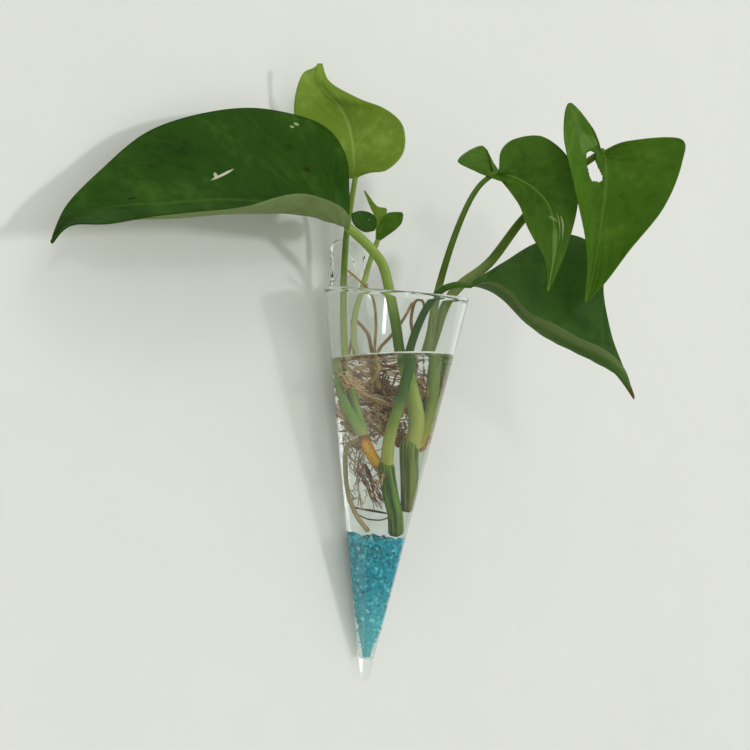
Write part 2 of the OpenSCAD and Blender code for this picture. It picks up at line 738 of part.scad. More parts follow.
module root_loops() {
  color([0.5, 0.36, 0.24])
    difference() {
      loop_strands();
      standing_stems();
      tangle_strands();
    }
}

glass_vessel();
water();
gravel();
front_vine_piece();
middle_vine_piece();
vine_stub();
large_leaf_stalk();
large_leaf();
light_leaf_stalk();
light_leaf();
young_leaf_stalk();
young_leaf();
leaf_sheath();
front_leaf_stalk();
front_leaf();
curled_leaf_stalk();
curled_leaf();
notched_leaf_stalk();
notched_leaf();
root_tangle();
fine_roots();
anchor_root();
root_loops();
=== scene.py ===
# %% [markdown]
# # A hanging vase with rooted cuttings
#
# The vase is a pointed cone of clear glass with a holed tab, hung on a wall. Blue gravel
# fills its point, water stands above it, and a bunch of leafy vine cuttings roots in the
# water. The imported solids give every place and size. This script dresses them: each piece
# is drawn again as a finer surface, worked out with numpy, and gets a finish of its own.

# %% Load the fixed frame
import math
from functools import partialmethod

import bmesh
import bpy
import numpy as np
from mathutils import Matrix, Vector


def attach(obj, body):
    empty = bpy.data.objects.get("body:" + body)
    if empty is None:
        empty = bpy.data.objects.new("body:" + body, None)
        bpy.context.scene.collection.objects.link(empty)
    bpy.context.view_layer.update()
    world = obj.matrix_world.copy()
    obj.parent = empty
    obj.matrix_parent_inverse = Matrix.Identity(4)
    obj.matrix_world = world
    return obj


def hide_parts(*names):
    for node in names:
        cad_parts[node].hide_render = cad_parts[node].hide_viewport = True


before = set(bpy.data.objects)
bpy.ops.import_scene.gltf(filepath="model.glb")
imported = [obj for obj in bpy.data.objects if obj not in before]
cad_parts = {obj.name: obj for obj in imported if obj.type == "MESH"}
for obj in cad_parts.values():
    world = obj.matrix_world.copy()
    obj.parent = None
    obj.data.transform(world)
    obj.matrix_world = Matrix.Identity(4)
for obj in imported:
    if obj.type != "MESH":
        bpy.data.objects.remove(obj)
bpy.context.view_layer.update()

# %% [markdown]
# The camera comes first. It stands a little below the leaves, to the left of the vase, and
# looks obliquely at the wall. Three angles could turn it. Here the rows of its rotation are
# given, its right, its up and the way that it looks, because they were found by matching
# the hanging hole, the rim and the tip.

# %% Camera
RIGHT = Vector((0.68967, -0.72288, -0.04249))
UP = Vector((-0.01620, -0.07406, 0.99712))
AHEAD = Vector((0.72394, 0.68700, 0.06279))
STANDPOINT = (-0.3693, -0.3674, -0.0855)
FOCAL_PIXELS, FRAME_PIXELS, SENSOR = 1100, 750, 36
COLLECTION = bpy.context.scene.collection
camera = bpy.data.objects.new("camera", bpy.data.cameras.new("camera"))
COLLECTION.objects.link(camera)
turn = Matrix((RIGHT, UP, -AHEAD)).transposed().to_4x4()
camera.matrix_world = Matrix.Translation(STANDPOINT) @ turn
camera.data.sensor_width = SENSOR
camera.data.lens = SENSOR * FOCAL_PIXELS / FRAME_PIXELS
camera.data.clip_start = 0.01
bpy.context.scene.camera = camera
print("focal length", round(camera.data.lens, 1), "mm")

# %% [markdown]
# All the shapes below are worked out in millimetres, as the solids are, and turned into
# metres when the mesh is made. The cone is described once: heights run along its axis from
# the virtual apex, and its own axes are then turned and moved into the frame.

# %% Sizes of the vase, and its own axes
MM = 0.001
RIM_RADIUS, TIP_RADIUS, CONE, WALL = 33.0, 2.1, 178.0, 1.6
RIM_DROP = 12              # from the hanging hole down to the back of the rim
SOLID_TIP, GRAVEL_DEPTH = 9, 59
WATER_LEVEL = -47.4
HALF_ANGLE = math.atan((RIM_RADIUS - TIP_RADIUS) / CONE)
TAN, SIN, COS = math.tan(HALF_ANGLE), math.sin(HALF_ANGLE), math.cos(HALF_ANGLE)
ACROSS = WALL / COS        # the wall measured square to the axis
RIM_HEIGHT = RIM_RADIUS / TAN
TIP_HEIGHT = TIP_RADIUS / TAN
CAVITY = TIP_HEIGHT + SOLID_TIP
GRAVEL_TOP = CAVITY + GRAVEL_DEPTH
APEX = np.array([0, 0, -RIM_DROP - RIM_HEIGHT / COS])


def placed(q):
    """From the cone's axes to the frame's: turned about X by the half angle, then moved to
    the apex."""
    x, y, z = np.moveaxis(np.asarray(q, float), -1, 0)
    return APEX + np.stack([x, y * COS - z * SIN, y * SIN + z * COS], -1)


def inner_radius(height):
    """Radius of the hollow: height times the cone's slope, less the wall."""
    return height * TAN - ACROSS


def turned(angle, radius, height):
    """Points round the cone's axis at an angle from its back: radius times its sine to the
    right and its cosine towards the wall, at a height."""
    xyz = np.broadcast_arrays(radius * np.sin(angle), radius * np.cos(angle), height)
    return placed(np.stack(xyz, -1))


def unit(v):
    """The vectors divided by their own lengths."""
    return v / np.maximum(np.linalg.norm(v, axis=-1, keepdims=True), 1e-9)


print("half angle", round(math.degrees(HALF_ANGLE), 2), "degrees, apex at", APEX[2].round(1))

# %% [markdown]
# A surface is a grid of points. These helpers number the squares of a grid, join several
# grids, put points and faces into a mesh, and write what a material needs onto the points
# as attributes, so that colour can follow the piece itself and not the space round it.

# %% Grids and meshes
def sheet(grid, closed=False):
    """A grid of points with its list of faces: the squares between neighbouring rows and
    columns, wrapped round along the rows if closed."""
    rows, columns = grid.shape[:2]
    i = np.arange(rows - 1)[:, None] * columns
    j = np.arange(columns if closed else columns - 1)[None, :]
    n = (j + 1) % columns
    corners = np.stack([i + j, i + n, i + columns + n, i + columns + j], -1)
    return grid.reshape(-1, 3), [corners.reshape(-1, 4)]


def joined(parts):
    """Parts of (points, faces) as one list of each, with the faces' corner numbers moved on
    by the points before them."""
    points, faces, start = [], [], 0
    for some, cells in parts:
        points.append(some)
        faces += [corners + start for corners in cells]
        start += len(some)
    return np.concatenate(points), faces


def make(name, points, faces, body, materials, slot, stands_for=None, attributes=None, weld=0.0):
    """A piece from points in mm and lists of faces, which rides on a body and may replace a
    solid.
    slot is not used. weld merges points closer than that, in mm."""
    mesh = bpy.data.meshes.new(name)
    mesh.from_pydata((points * MM).tolist(), [], [f for part in faces for f in part.tolist()])
    for key, values in (attributes or {}).items():
        kind, field = ("FLOAT_VECTOR", "vector") if values.ndim == 2 else ("FLOAT", "value")
        layer = mesh.attributes.new(key, kind, "POINT")
        layer.data.foreach_set(field, values.astype(np.float32).ravel())
    if weld:
        work = bmesh.new()
        work.from_mesh(mesh)
        bmesh.ops.remove_doubles(work, verts=work.verts, dist=weld * MM)
        bmesh.ops.dissolve_degenerate(work, edges=work.edges, dist=weld * MM)
        bmesh.ops.recalc_face_normals(work, faces=work.faces)
        work.to_mesh(mesh)
        work.free()
    mesh.shade_smooth()
    for material in materials:
        mesh.materials.append(material)
    piece = bpy.data.objects.new(name, mesh)
    COLLECTION.objects.link(piece)
    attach(piece, body)
    if stands_for:
        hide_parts(stands_for)
    print(name, len(mesh.vertices), "points", len(mesh.polygons), "faces")
    return piece


# %% [markdown]
# Finishes are node materials. Written out, a tree of nodes is hard to read, so what flows
# out of a node is wrapped here in a small class: a sign between two flows adds the Math node
# that does it, and a finish reads as a formula. Effects that several finishes share are node
# groups with named inputs and outputs, made once and placed with other values.

# %% What flows between nodes
class Flow:
    """What flows out of a socket. flow["Name"] is another output of the same node."""

    def __init__(self, socket):
        self.socket, self.tree = socket, socket.id_data

    def __getitem__(self, key):
        return Flow(self.socket.node.outputs[key])

    def maths(self, what, other=0.5):
        """One Math node of this value and another."""
        return node(self.tree, "Math", {0: self, 1: other}, operation=what)

    __add__ = partialmethod(maths, "ADD")
    __sub__ = partialmethod(maths, "SUBTRACT")
    __mul__ = partialmethod(maths, "MULTIPLY")
    __truediv__ = partialmethod(maths, "DIVIDE")
    __gt__ = partialmethod(maths, "GREATER_THAN")
    __lt__ = partialmethod(maths, "LESS_THAN")

    def __rsub__(self, number):
        return node(self.tree, "Math", {0: number, 1: self}, operation="SUBTRACT")

    def clamped(self):
        """The last Math node's result, held between 0 and 1."""
        self.socket.node.use_clamp = True
        return self

    def between(self, low, high):
        """0 where the value is low, 1 where it is high, straight between and held outside."""
        return node(self.tree, "MapRange", {0: self, 1: low, 2: high})

    def to(self, socket):
        """Links the flow to an input."""
        self.tree.links.new(self.socket, socket)


def node(tree, kind, fill=(), **settings):
    """Adds a shader node, sets its settings, fills its inputs with values or with flows, and
    returns what flows from its first output."""
    made = tree.nodes.new("ShaderNode" + kind)
    for key, value in settings.items():
        setattr(made, key, value)
    for key, value in dict(fill).items():
        if isinstance(value, Flow):
            value.to(made.inputs[key])
        else:
            made.inputs[key].default_value = value
    return Flow(made.outputs[0])


# %% Colours and bumps
def rgb(code):
    """A colour as a screen shows it, two hexadecimal digits each for red, green and blue,
    turned to linear light."""
    c = np.array([int(code[k:k + 2], 16) for k in (0, 2, 4)]) / 255
    return (*np.where(c <= 0.04045, c / 12.92, ((c + 0.055) / 1.055) ** 2.4).tolist(), 1.0)


def mixed(share, a, b):
    """Two colours mixed by a share. A colour is a code or a flow."""
    a, b = (rgb(colour) if isinstance(colour, str) else colour for colour in (a, b))
    return node(share.tree, "Mix", {0: share, 6: a, 7: b}, data_type="RGBA")[2]


def ramp(value, stops):
    """A soft colour ramp, whose stops are written "place code, place code"."""
    made = node(value.tree, "ValToRGB", {0: value})
    band = made.socket.node.color_ramp
    band.interpolation = "EASE"
    stops = [stop.split() for stop in stops.split(",")]
    while len(band.elements) < len(stops):
        band.elements.new(0.5)
    for element, (place, code) in zip(band.elements, stops):
        element.position = float(place)
        element.color = rgb(code)
    return made


def bump(height, strength, distance, sockets):
    """Feeds a height into a shader's normal."""
    fill = {"Height": height, "Strength": strength, "Distance": distance}
    node(height.tree, "Bump", fill).to(sockets["Normal"])


# %% Materials
def carried(tree, name, kind="Fac"):
    """The value that a piece carries on its points under a name."""
    return node(tree, "Attribute", attribute_name=name)[kind]


def finish(name, roughness, **values):
    """A material with a Principled shader of its own, and plain values on its sockets.
    Returns it, the sockets, and the place on the piece in Object coordinates."""
    made = bpy.data.materials.new(name)
    made.use_nodes = True
    sockets = made.node_tree.nodes["Principled BSDF"].inputs
    for key, value in {"Roughness": roughness, **values}.items():
        sockets[key.replace("_", " ")].default_value = value
    return made, sockets, node(made.node_tree, "TexCoord")["Object"]


def blend_shader(made, share, other):
    """Mixes another shader into a material's own by a share."""
    nodes = made.node_tree.nodes
    own = Flow(nodes["Principled BSDF"].outputs[0])
    both = node(made.node_tree, "MixShader", {0: share, 1: own, 2: other})
    both.to(nodes["Material Output"].inputs["Surface"])


# %% Shared groups
def new_group(name, inputs, outputs):
    """An empty node group. An input's value None makes it a vector. Returns the group, the
    flows from its inputs, and the sockets of its outputs."""
    tree = bpy.data.node_groups.new(name, "ShaderNodeTree")
    for key, value in inputs.items():
        kind = "NodeSocketVector" if value is None else "NodeSocketFloat"
        socket = tree.interface.new_socket(name=key, in_out="INPUT", socket_type=kind)
        if value is not None:
            socket.default_value = value
    for key in outputs:
        tree.interface.new_socket(name=key, in_out="OUTPUT", socket_type="NodeSocketFloat")
    given = tree.nodes.new("NodeGroupInput").outputs
    asked = tree.nodes.new("NodeGroupOutput").inputs
    return tree, [Flow(given[key]) for key in inputs], [asked[key] for key in outputs]


def use(group, place, **fill):
    """Places a shared group in the tree that the place flows in."""
    return node(place.tree, "Group", {"Place": place, **fill}, node_tree=group)


# %% [markdown]
# Anything grown or cast drifts in tone. A single noise looks like one size of blot, so two,
# one coarse and one fine, are averaged and spread about the middle by a contrast.

# %% Cloudy tone
CLOUD, (place, scale, contrast), (out,) = new_group(
    "cloudy_tone", {"Place": None, "Scale": 60.0, "Contrast": 1.6}, ["Tone"])
coarse = node(CLOUD, "TexNoise", {"Vector": place, "Scale": scale, "Detail": 4.0})
fine = node(CLOUD, "TexNoise", {"Vector": place, "Scale": scale * 6.3, "Detail": 2.0})
((coarse * 0.7 + fine * 0.3 - 0.5) * contrast + 0.5).clamped().to(out)
print("group", CLOUD.name, "with", len(CLOUD.nodes), "nodes")

# %% [markdown]
# ## Glass
#
# The vase is blown from a tube: a cone drawn to a point, with its rim melted round in the
# flame and a tab, opposite the front, flattened and pierced. A turned profile alone can't
# give the tab, so the wall is drawn in three patches that share their borders: a plate
# round the hole, whose rings run from the hole to the tab's outline, the front of the rim,
# and the plain cone below. Each patch is made twice, for the outside and the inside, and a
# rounded lip joins the two along the rim, the tab and the hole.

# %% Borders of the patches
FOOT = 17.0          # where the tab's foot meets the rim, mm to the side
BAND = 9.0           # depth of the rim band, mm along the cone
LIP = 0.80           # half the wall
TAB_HALF, TAB_TOP, TAB_CORNER, HOLE = 12.0, 12.0, 10.0, 5.5
TAB_SIDE = -6.5      # height at which the foot's curve has become the straight side
EDGE_DROP = 0.68     # the sheet ends this far below the middle of the melted rim
FRONT_STEPS, BACK_STEPS, BAND_STEPS, PLATE_STEPS = 120, 24, 8, 12
sheet_top = RIM_HEIGHT - EDGE_DROP
foot_angle = math.asin(FOOT / RIM_RADIUS)
band_heights = np.linspace(sheet_top, RIM_HEIGHT - BAND, BAND_STEPS + 1)
front_angles = np.linspace(foot_angle, 2 * math.pi - foot_angle, FRONT_STEPS + 1)
back_angles = np.linspace(-foot_angle, foot_angle, BACK_STEPS + 1)


def ring_point(angle, height, inset):
    """A point of the wall at an angle from the back and a height along the axis."""
    return turned(angle, height * TAN - inset, height)


def tab_edge(inset):
    """The tab's outline from its right foot over the top to the left foot, as (x, z), drawn
    in by what the lip will add. Foot, side and corner are a quarter ellipse, a line and a
    quarter circle."""
    foot = ring_point(foot_angle, sheet_top, inset)
    half, r = TAB_HALF - LIP, TAB_CORNER - LIP
    q = np.linspace(0, math.pi / 2, 9)[:-1]
    down, in_by = TAB_SIDE - foot[2], foot[0] - half
    quarter = np.stack([foot[0] - in_by * np.sin(q), foot[2] + down * (1 - np.cos(q))], -1)
    side = np.stack([np.full(8, half), np.linspace(TAB_SIDE, TAB_TOP - TAB_CORNER, 9)[:-1]], -1)
    q = np.linspace(0, math.pi / 2, 15)
    corner = np.stack([half - r + r * np.cos(q), TAB_TOP - TAB_CORNER + r * np.sin(q)], -1)
    right = np.concatenate([quarter, side, corner])
    return np.concatenate([right, (right * [-1, 1])[::-1]])


print("tab's foot", round(math.degrees(foot_angle), 1), "degrees from the back of the rim")

# %% Patches of the wall
OWN_WAY = 0.75             # how much a point's own direction counts on the hole's circle
RING_GROWTH = 1.15         # above 1, the rings are closer near the hole


def on_cone(x, z, inset):
    """The point over (x, z) on the back of a cone, found by running along Y. For a point
    y, z the radius squared is x^2 + (y cos + Z sin)^2 and must equal ((Z cos - y sin) tan -
    inset)^2, with Z measured from the apex: a quadratic in y, of which the larger root."""
    up = z - APEX[2]
    a1, b1, a2, b2 = COS, up * SIN, -SIN * TAN, up * SIN - inset
    a, b, c = a1 * a1 - a2 * a2, 2 * (a1 * b1 - a2 * b2), b1 * b1 - b2 * b2 + x * x
    y = (-b + np.sqrt(np.maximum(b * b - 4 * a * c, 0))) / (2 * a)
    return np.stack([x, y, z], -1)


def wall_side(inset, radii, heights):
    """All patches of one side of the wall, whose cone has the given profile. Returns points,
    faces, the loop that the outer lip starts from and the loop round the hole. The plate's
    rings go from a circle round the hole to the tab's outline; a point's angle on the circle
    is mostly its own direction and partly its even share of the outline's length."""
    top = tab_edge(inset)
    left, right = (ring_point(way * foot_angle, band_heights[1:], inset) for way in (-1, 1))
    low = ring_point(back_angles[1:-1], band_heights[-1], inset)
    loop = np.concatenate([top, left[:, [0, 2]], low[:, [0, 2]], right[::-1][:, [0, 2]]])
    step = np.linalg.norm(np.diff(loop, axis=0, append=loop[:1]), axis=1)
    share = np.concatenate([[0], np.cumsum(step)[:-1]]) / step.sum()
    own = np.minimum.accumulate(np.unwrap(np.arctan2(loop[:, 0], loop[:, 1])))
    even = math.atan2(*top[0]) - share * 2 * math.pi
    angle = OWN_WAY * own + (1 - OWN_WAY) * even
    circle = (HOLE + LIP) * np.stack([np.sin(angle), np.cos(angle)], -1)
    w = np.linspace(0, 1, PLATE_STEPS + 1)[:, None, None] ** RING_GROWTH
    flat = circle * (1 - w) + loop * w
    plate = on_cone(flat[..., 0], flat[..., 1], inset)
    band = ring_point(front_angles, band_heights[:, None], inset)
    ring = np.concatenate([back_angles, front_angles[1:-1]])
    cone = turned(ring, radii[:, None], heights[:, None])
    points, faces = joined([sheet(plate, True), sheet(band), sheet(cone, True)])
    return points, faces, np.concatenate([band[0], plate[-1][1:len(top) - 1][::-1]]), plate[0]


def lip(outer, inner, bulge, away):
    """A round lip between two loops. With half the gap as h and the bead's radius h + bulge,
    its middle stands sqrt(r^2 - h^2) outside the loops, and it runs round from one to the
    other. away is the direction that it swells in."""
    middle, half = (outer + inner) / 2, (outer - inner) / 2
    h = np.linalg.norm(half, axis=-1)
    r = h + bulge
    out = np.sqrt(r * r - h * h)
    start = np.arcsin(out / r)
    angle = -start + (math.pi + 2 * start) * np.linspace(0, 1, 11)[:, None]
    swell = away * (out + r * np.sin(angle))[..., None]
    return middle + unit(half) * (r * np.cos(angle))[..., None] + swell


# %% Glass vessel
CONE_STEPS = 45
WELL = 1.2                 # depth of the hollow's rounded bottom
RIM_BEAD, TAB_BEAD, HOLE_BEAD = 0.25, 0.03, 0.01
arc = (math.pi / 2 - HALF_ANGLE) * (1 - np.linspace(0, 1, 12))


def profile(end, inset, arc_radii, arc_heights):
    """Radii and heights from the band straight down to a height, then round to the axis."""
    straight = np.linspace(band_heights[-1], end, CONE_STEPS + 1)[:-1]
    radii = np.concatenate([straight * TAN - inset, arc_radii])
    radii[-1] = 0
    return radii, np.concatenate([straight, arc_heights])


# Outside: down the cone, then round the blunt tip to the axis.
tip_round = TIP_RADIUS / COS
outside = profile(TIP_HEIGHT, 0.0, tip_round * np.sin(arc),
                  TIP_HEIGHT + tip_round * (SIN - np.cos(arc)))
# Inside: down the hollow, whose bottom is rounded where the tip was melted shut.
hollow_end = CAVITY + WELL
inside = profile(hollow_end, ACROSS, inner_radius(hollow_end) * np.sin(arc) / COS,
                 CAVITY + WELL * (1 - np.cos(arc)) / (1 - SIN))
out_points, out_faces, out_loop, out_hole = wall_side(0.0, *outside)
in_points, in_faces, in_loop, in_hole = wall_side(ACROSS, *inside)
# The lip's direction: square to the loop and to the wall, pointing away from the glass,
# which is where a point well over the rim lies.
ahead = unit(np.roll(out_loop, -1, 0) - np.roll(out_loop, 1, 0))
away = unit(np.cross(unit(out_loop - in_loop), ahead))
over_rim = placed([0, 0, RIM_HEIGHT + 60])
away *= np.sign((away * (over_rim - out_loop)).sum(-1, keepdims=True))
# The rim was melted to a bead, the tab is only rounded: the bead dies out over nine points.
on_rim = np.arange(len(out_loop)) <= FRONT_STEPS
soft = np.convolve(np.pad(on_rim.astype(float), 8, "wrap"), np.ones(9) / 9, "same")[8:-8]
rim_lip = lip(out_loop, in_loop, TAB_BEAD + (RIM_BEAD - TAB_BEAD) * soft, away)
hole_lip = lip(out_hole, in_hole, np.full(len(out_hole), HOLE_BEAD), -unit(out_hole * [1, 0, 1]))
points, faces = joined([(out_points, out_faces), (in_points, in_faces),
                        sheet(rim_lip, True), sheet(hole_lip, True)])
print("lip loop", len(out_loop), "hole loop", len(out_hole))

# %% [markdown]
# Clear glass is a Principled shader with full transmission and the refractive index of soda
# glass. Lamps don't reach through refracting walls well. Caustics could carry their light,
# but slowly and with noise, so a Transparent shader takes over for the rays that make
# shadows and bounced light: the wall then gets the soft grey shadow that real glass throws.
# A faint drift in the normal stands for the unevenness of hand-blown walls.

# %% Glass finish
CLEAR = "fcfdfc"
CAUGHT = 5.5               # bounces, after which a ray would only turn edges black
LENS_LIGHT = (1.6, 1.6, 1.57, 1)


def let_light_through(made, tint):
    """Mixes in a Transparent shader: in the tint for the rays that carry lamplight, almost
    clear for those that carry bounced light or have been caught between walls for long."""
    rays = node(made.node_tree, "LightPath")
    shadow = rays["Is Shadow Ray"]
    clear = node(made.node_tree, "BsdfTransparent", {0: mixed(shadow, CLEAR, tint)})
    passing = shadow.maths("MAXIMUM", rays["Is Diffuse Ray"])
    blend_shader(made, passing.maths("MAXIMUM", rays["Ray Depth"] > CAUGHT), clear)


glass, sockets, place = finish("clear_glass", 0.0, Transmission_Weight=1.0, IOR=1.5)
tint = use(CLOUD, place, Scale=25.0, Contrast=1.0)
ramp(tint, "0 f8fcfb, 1 fcfefd").to(sockets["Base Color"])
drift = node(place.tree, "TexNoise", {"Vector": place, "Scale": 30.0, "Detail": 1.0})
bump(drift, 0.25, 0.0006, sockets)
# The half of the cone behind its axis, through which the window's light leaves, dims it: the
# glass throws its shadow on the wall and still lets the lamps reach what stands in it. The
# water gathers light like a lens, so what leaves at the right is brighter than white.
split = node(place.tree, "SeparateXYZ", {0: place})
behind = split["Y"] + (split["Z"] * TAN - APEX[2] * TAN * MM) > 0.0
through = mixed(split["X"].between(0.012, -0.006), LENS_LIGHT, "ced2cf")
let_light_through(glass, mixed(behind, CLEAR, through))
make("glass_vessel_blown", points, faces, "vase", [glass], "clear_glass", "glass_vessel",
     weld=0.004)

# %% [markdown]
# ## Water
#
# Water fills the hollow down to the point, between the chips too. Its surface is level while
# the cone leans, and it climbs the glass in a thin curved edge, the meniscus. A cut through
# the cone would give a flat top without that edge, so the surface is drawn as rings, too.
# The body of water reaches a quarter of a millimetre into the glass: light then passes from
# glass to water as it should, with no film of air between them.

# %% Water
CLIMB, CLIMB_FADE, OVERLAP, BOTTOM_GAP = 1.5, 1.3, 0.25, 0.15
skin_inset = ACROSS - OVERLAP
ring = np.linspace(0, 2 * math.pi, 129)[:-1]
# Height at which a straight line up the wall meets the raised edge of the water.
level = WATER_LEVEL + CLIMB - APEX[2]
wet_top = (level + skin_inset * np.cos(ring) * SIN) / (TAN * np.cos(ring) * SIN + COS)
wet_end = CAVITY + BOTTOM_GAP
wet_heights = wet_end + (wet_top - wet_end) * np.linspace(1, 0, 40)[:, None]
wet_wall = turned(ring, np.maximum(wet_heights * TAN - skin_inset, 0), wet_heights)
# The top: rings from the middle to the edge, which rise by CLIMB exp(-gap / CLIMB_FADE).
edge, middle = wet_wall[0], wet_wall[0].mean(0)
outward = np.concatenate([np.linspace(0, 0.8, 10)[:-1], np.linspace(0.8, 1, 12)[:-1]])[:, None]
surface = middle + (edge - middle) * outward[..., None]
gap = np.linalg.norm(edge - middle, axis=-1) * (1 - outward)
surface[..., 2] = WATER_LEVEL + CLIMB * np.exp(-gap / CLIMB_FADE)
bottom = np.broadcast_to(wet_wall[-1].mean(0), (1, len(ring), 3))
still_water, sockets, place = finish("still_water", 0.0, Transmission_Weight=1.0, IOR=1.333)
cloud = use(CLOUD, place, Scale=40.0, Contrast=1.0)
ramp(cloud, "0 f6faf6, 1 fcfdfa").to(sockets["Base Color"])
let_light_through(still_water, "f6f8f6")
make("standing_water", *sheet(np.concatenate([surface, wet_wall, bottom]), True), "vase",
     [still_water], "water", "water", weld=0.003)

# %% [markdown]
# ## Gravel
#
# The point of the cone is packed with small chips of blue-green glass grit. A physics
# simulation could pour them in, but it would take long for what shows only through the
# glass. So a dozen chips, each the hull of a few random points, are copied many times,
# turned and sized at random. More than half of them lie against the wall of the hollow,
# where they are seen, and the rest anywhere inside.

# %% Gravel chips
CHIP, CHIPS, AT_WALL, SHAPES = 2.7, 1500, 0.6, 12
CHIP_SPREAD, CHIP_REACH = [0.55, 0.45, 0.36], 0.42      # shares of a chip's size
LOWEST, UNDER_TOP = 1.0, 1.2                            # mm from the hollow's end and the top
luck = np.random.default_rng(11)


def chip_shapes(count):
    """Small angular hulls round the origin, about one unit across, of nine points each, as
    (points, triangles)."""
    shapes = []
    for _ in range(count):
        work = bmesh.new()
        for p in unit(luck.normal(size=(9, 3))) * CHIP_SPREAD:
            work.verts.new(p.tolist())
        buried = bmesh.ops.convex_hull(work, input=work.verts)["geom_interior"]
        buried = [part for part in buried if isinstance(part, bmesh.types.BMVert)]
        bmesh.ops.delete(work, geom=buried, context="VERTS")
        bmesh.ops.triangulate(work, faces=work.faces)
        bmesh.ops.recalc_face_normals(work, faces=work.faces)
        work.verts.ensure_lookup_table()
        corners = [[v.index for v in face.verts] for face in work.faces]
        shapes.append((np.array([v.co for v in work.verts]), np.array(corners)))
        work.free()
    return shapes


def random_turns(count):
    """Rotation matrices from random unit quaternions."""
    w, x, y, z = unit(luck.normal(size=(count, 4))).T
    return np.stack([
        1 - 2 * (y * y + z * z), 2 * (x * y - w * z), 2 * (x * z + w * y),
        2 * (x * y + w * z), 1 - 2 * (x * x + z * z), 2 * (y * z - w * x),
        2 * (x * z - w * y), 2 * (y * z + w * x), 1 - 2 * (x * x + y * y),
    ], -1).reshape(-1, 3, 3)


# Heights are drawn so that each slice of the cone gets chips in keeping with its area.
low, high = CAVITY + LOWEST, GRAVEL_TOP - UNDER_TOP
chip_heights = (low**3 + (high**3 - low**3) * luck.random(CHIPS)) ** (1 / 3)
free = np.maximum(inner_radius(chip_heights) - CHIP_REACH * CHIP, 0.2)
depth = np.where(luck.random(CHIPS) < AT_WALL, 1.0, np.sqrt(luck.random(CHIPS)))
spots = turned(luck.random(CHIPS) * 2 * math.pi, free * depth, chip_heights)
narrow = np.clip(inner_radius(chip_heights) / 5, 0.5, 1)
sizes = CHIP * luck.uniform(0.55, 1.15, CHIPS) * narrow
tones = luck.random(CHIPS)
matrices = random_turns(CHIPS)
parts, tone = [], []
for k, (corners, triangles) in enumerate(chip_shapes(SHAPES)):
    chosen = np.arange(k, CHIPS, SHAPES)
    own = np.einsum("nij,pj->npi", matrices[chosen], corners)
    copies = spots[chosen, None] + sizes[chosen, None, None] * own
    firsts = (np.arange(len(chosen)) * len(corners))[:, None, None]
    parts.append((copies.reshape(-1, 3), [(triangles + firsts).reshape(-1, 3)]))
    tone.append(np.repeat(tones[chosen], len(corners)))
print(CHIPS, "chips of", SHAPES, "shapes")

# %% [markdown]
# Every chip carries a number of its own, which its colour is chosen by. A texture in space
# couldn't do that: it would cut through the chips. Towards the tip the grit is painted paler,
# as painted light that shines through it, and dark bits that fell off the roots lie on the top,
# mostly to the right.

# %% Gravel finish
SPECKS, (place, scale, size, amount), (out,) = new_group(
    "specks", {"Place": None, "Scale": 200.0, "Size": 0.2, "Amount": 0.3}, ["Mask"])
# A speck is a small spot near the middle of some cells of a cell pattern.
cells = node(SPECKS, "TexVoronoi", {"Vector": place, "Scale": scale})
chosen = node(SPECKS, "SeparateXYZ", {0: cells["Color"]}) < amount
((cells["Distance"] < size) * chosen).to(out)

grit, sockets, place = finish("glass_grit", 0.35, Specular_IOR_Level=0.05)
own = carried(place.tree, "tone")
split = node(place.tree, "SeparateXYZ", {0: place})
blue = ramp(own, "0 008ca6, 0.3 04a2ba, 0.6 18bacc, 0.85 46ced8, "
                 "0.975 78dce0, 1 aae8e6")
cloud = use(CLOUD, place, Scale=260.0, Contrast=2.2)
blue = mixed(cloud * 0.5, blue, "009cb6")
blue = mixed(use(SPECKS, place, Scale=330.0, Size=0.22, Amount=0.05), blue, "262c28")
# Painted light: towards the tip the grit is painted paler, where light shines through it.
blue = mixed(split["Z"].between(-0.15, -0.195) * 0.6, blue, "a8f0ec")
litter = use(SPECKS, place, Scale=420.0, Size=0.3, Amount=0.4)
top_right = split["Z"].between(-0.131, -0.1275) * split["X"].between(-0.004, 0.004)
mixed(litter * top_right, blue, "1e1c18").to(sockets["Base Color"])
gravel = make("gravel_chips", *joined(parts), "vase", [grit], "gravel_chips", "gravel",
              {"tone": np.concatenate(tone)})
gravel.data.shade_flat()

# %% [markdown]
# Real grit is packed all the way through. Chips by the ten thousand would show the same and
# weigh more, so a plain cone of the same grit stands behind them and lets no light through.

# %% Bed under the chips
BED_TONE = 0.2
BED_HEIGHTS = [CAVITY + 1.2, CAVITY + 1.2, GRAVEL_TOP - 3.4, GRAVEL_TOP - 3.4]
BED_INSETS = [9, 1.0, 1.9, 99]       # from the hollow's wall; the first and last reach the axis
bed_heights, bed_insets = np.array([BED_HEIGHTS, BED_INSETS])[..., None]
bed_radii = np.maximum(inner_radius(bed_heights) - bed_insets, 0)
points, faces = sheet(turned(np.linspace(0, 2 * math.pi, 49)[:-1], bed_radii, bed_heights), True)
make("gravel_bed", points, faces, "vase", [grit], "gravel_chips",
     attributes={"tone": np.full(len(points), BED_TONE)}, weld=0.01)

# %% [markdown]
# ## Stems
#
# Vine pieces and leaf stalks are round and juicy. A curve object with a bevel would give
# tubes too, but its points carry no place along the stem for the colour to follow. So each
# is a tube of rings along the same middle line as its solid. A point of that line is given
# by shares, so that it stays in the vase: of the free radius to the right and towards the
# wall, and of the way up from the gravel to the rim.

# %% Middle lines
def points_of(text):
    """Points, or pairs, from text: shares in thousandths, one point after each comma."""
    return np.array([row.split() for row in text.split(",")], float) / 1000


def in_vase(shares, room):
    """Shares of the radius that is free of room, and of the way up, as a point in the vase."""
    s = np.asarray(shares, float)
    height = GRAVEL_TOP + s[..., 2] * (RIM_HEIGHT - GRAVEL_TOP)
    r = inner_radius(height) - room
    return placed(np.stack([r * s[..., 0], r * s[..., 1], height], -1))


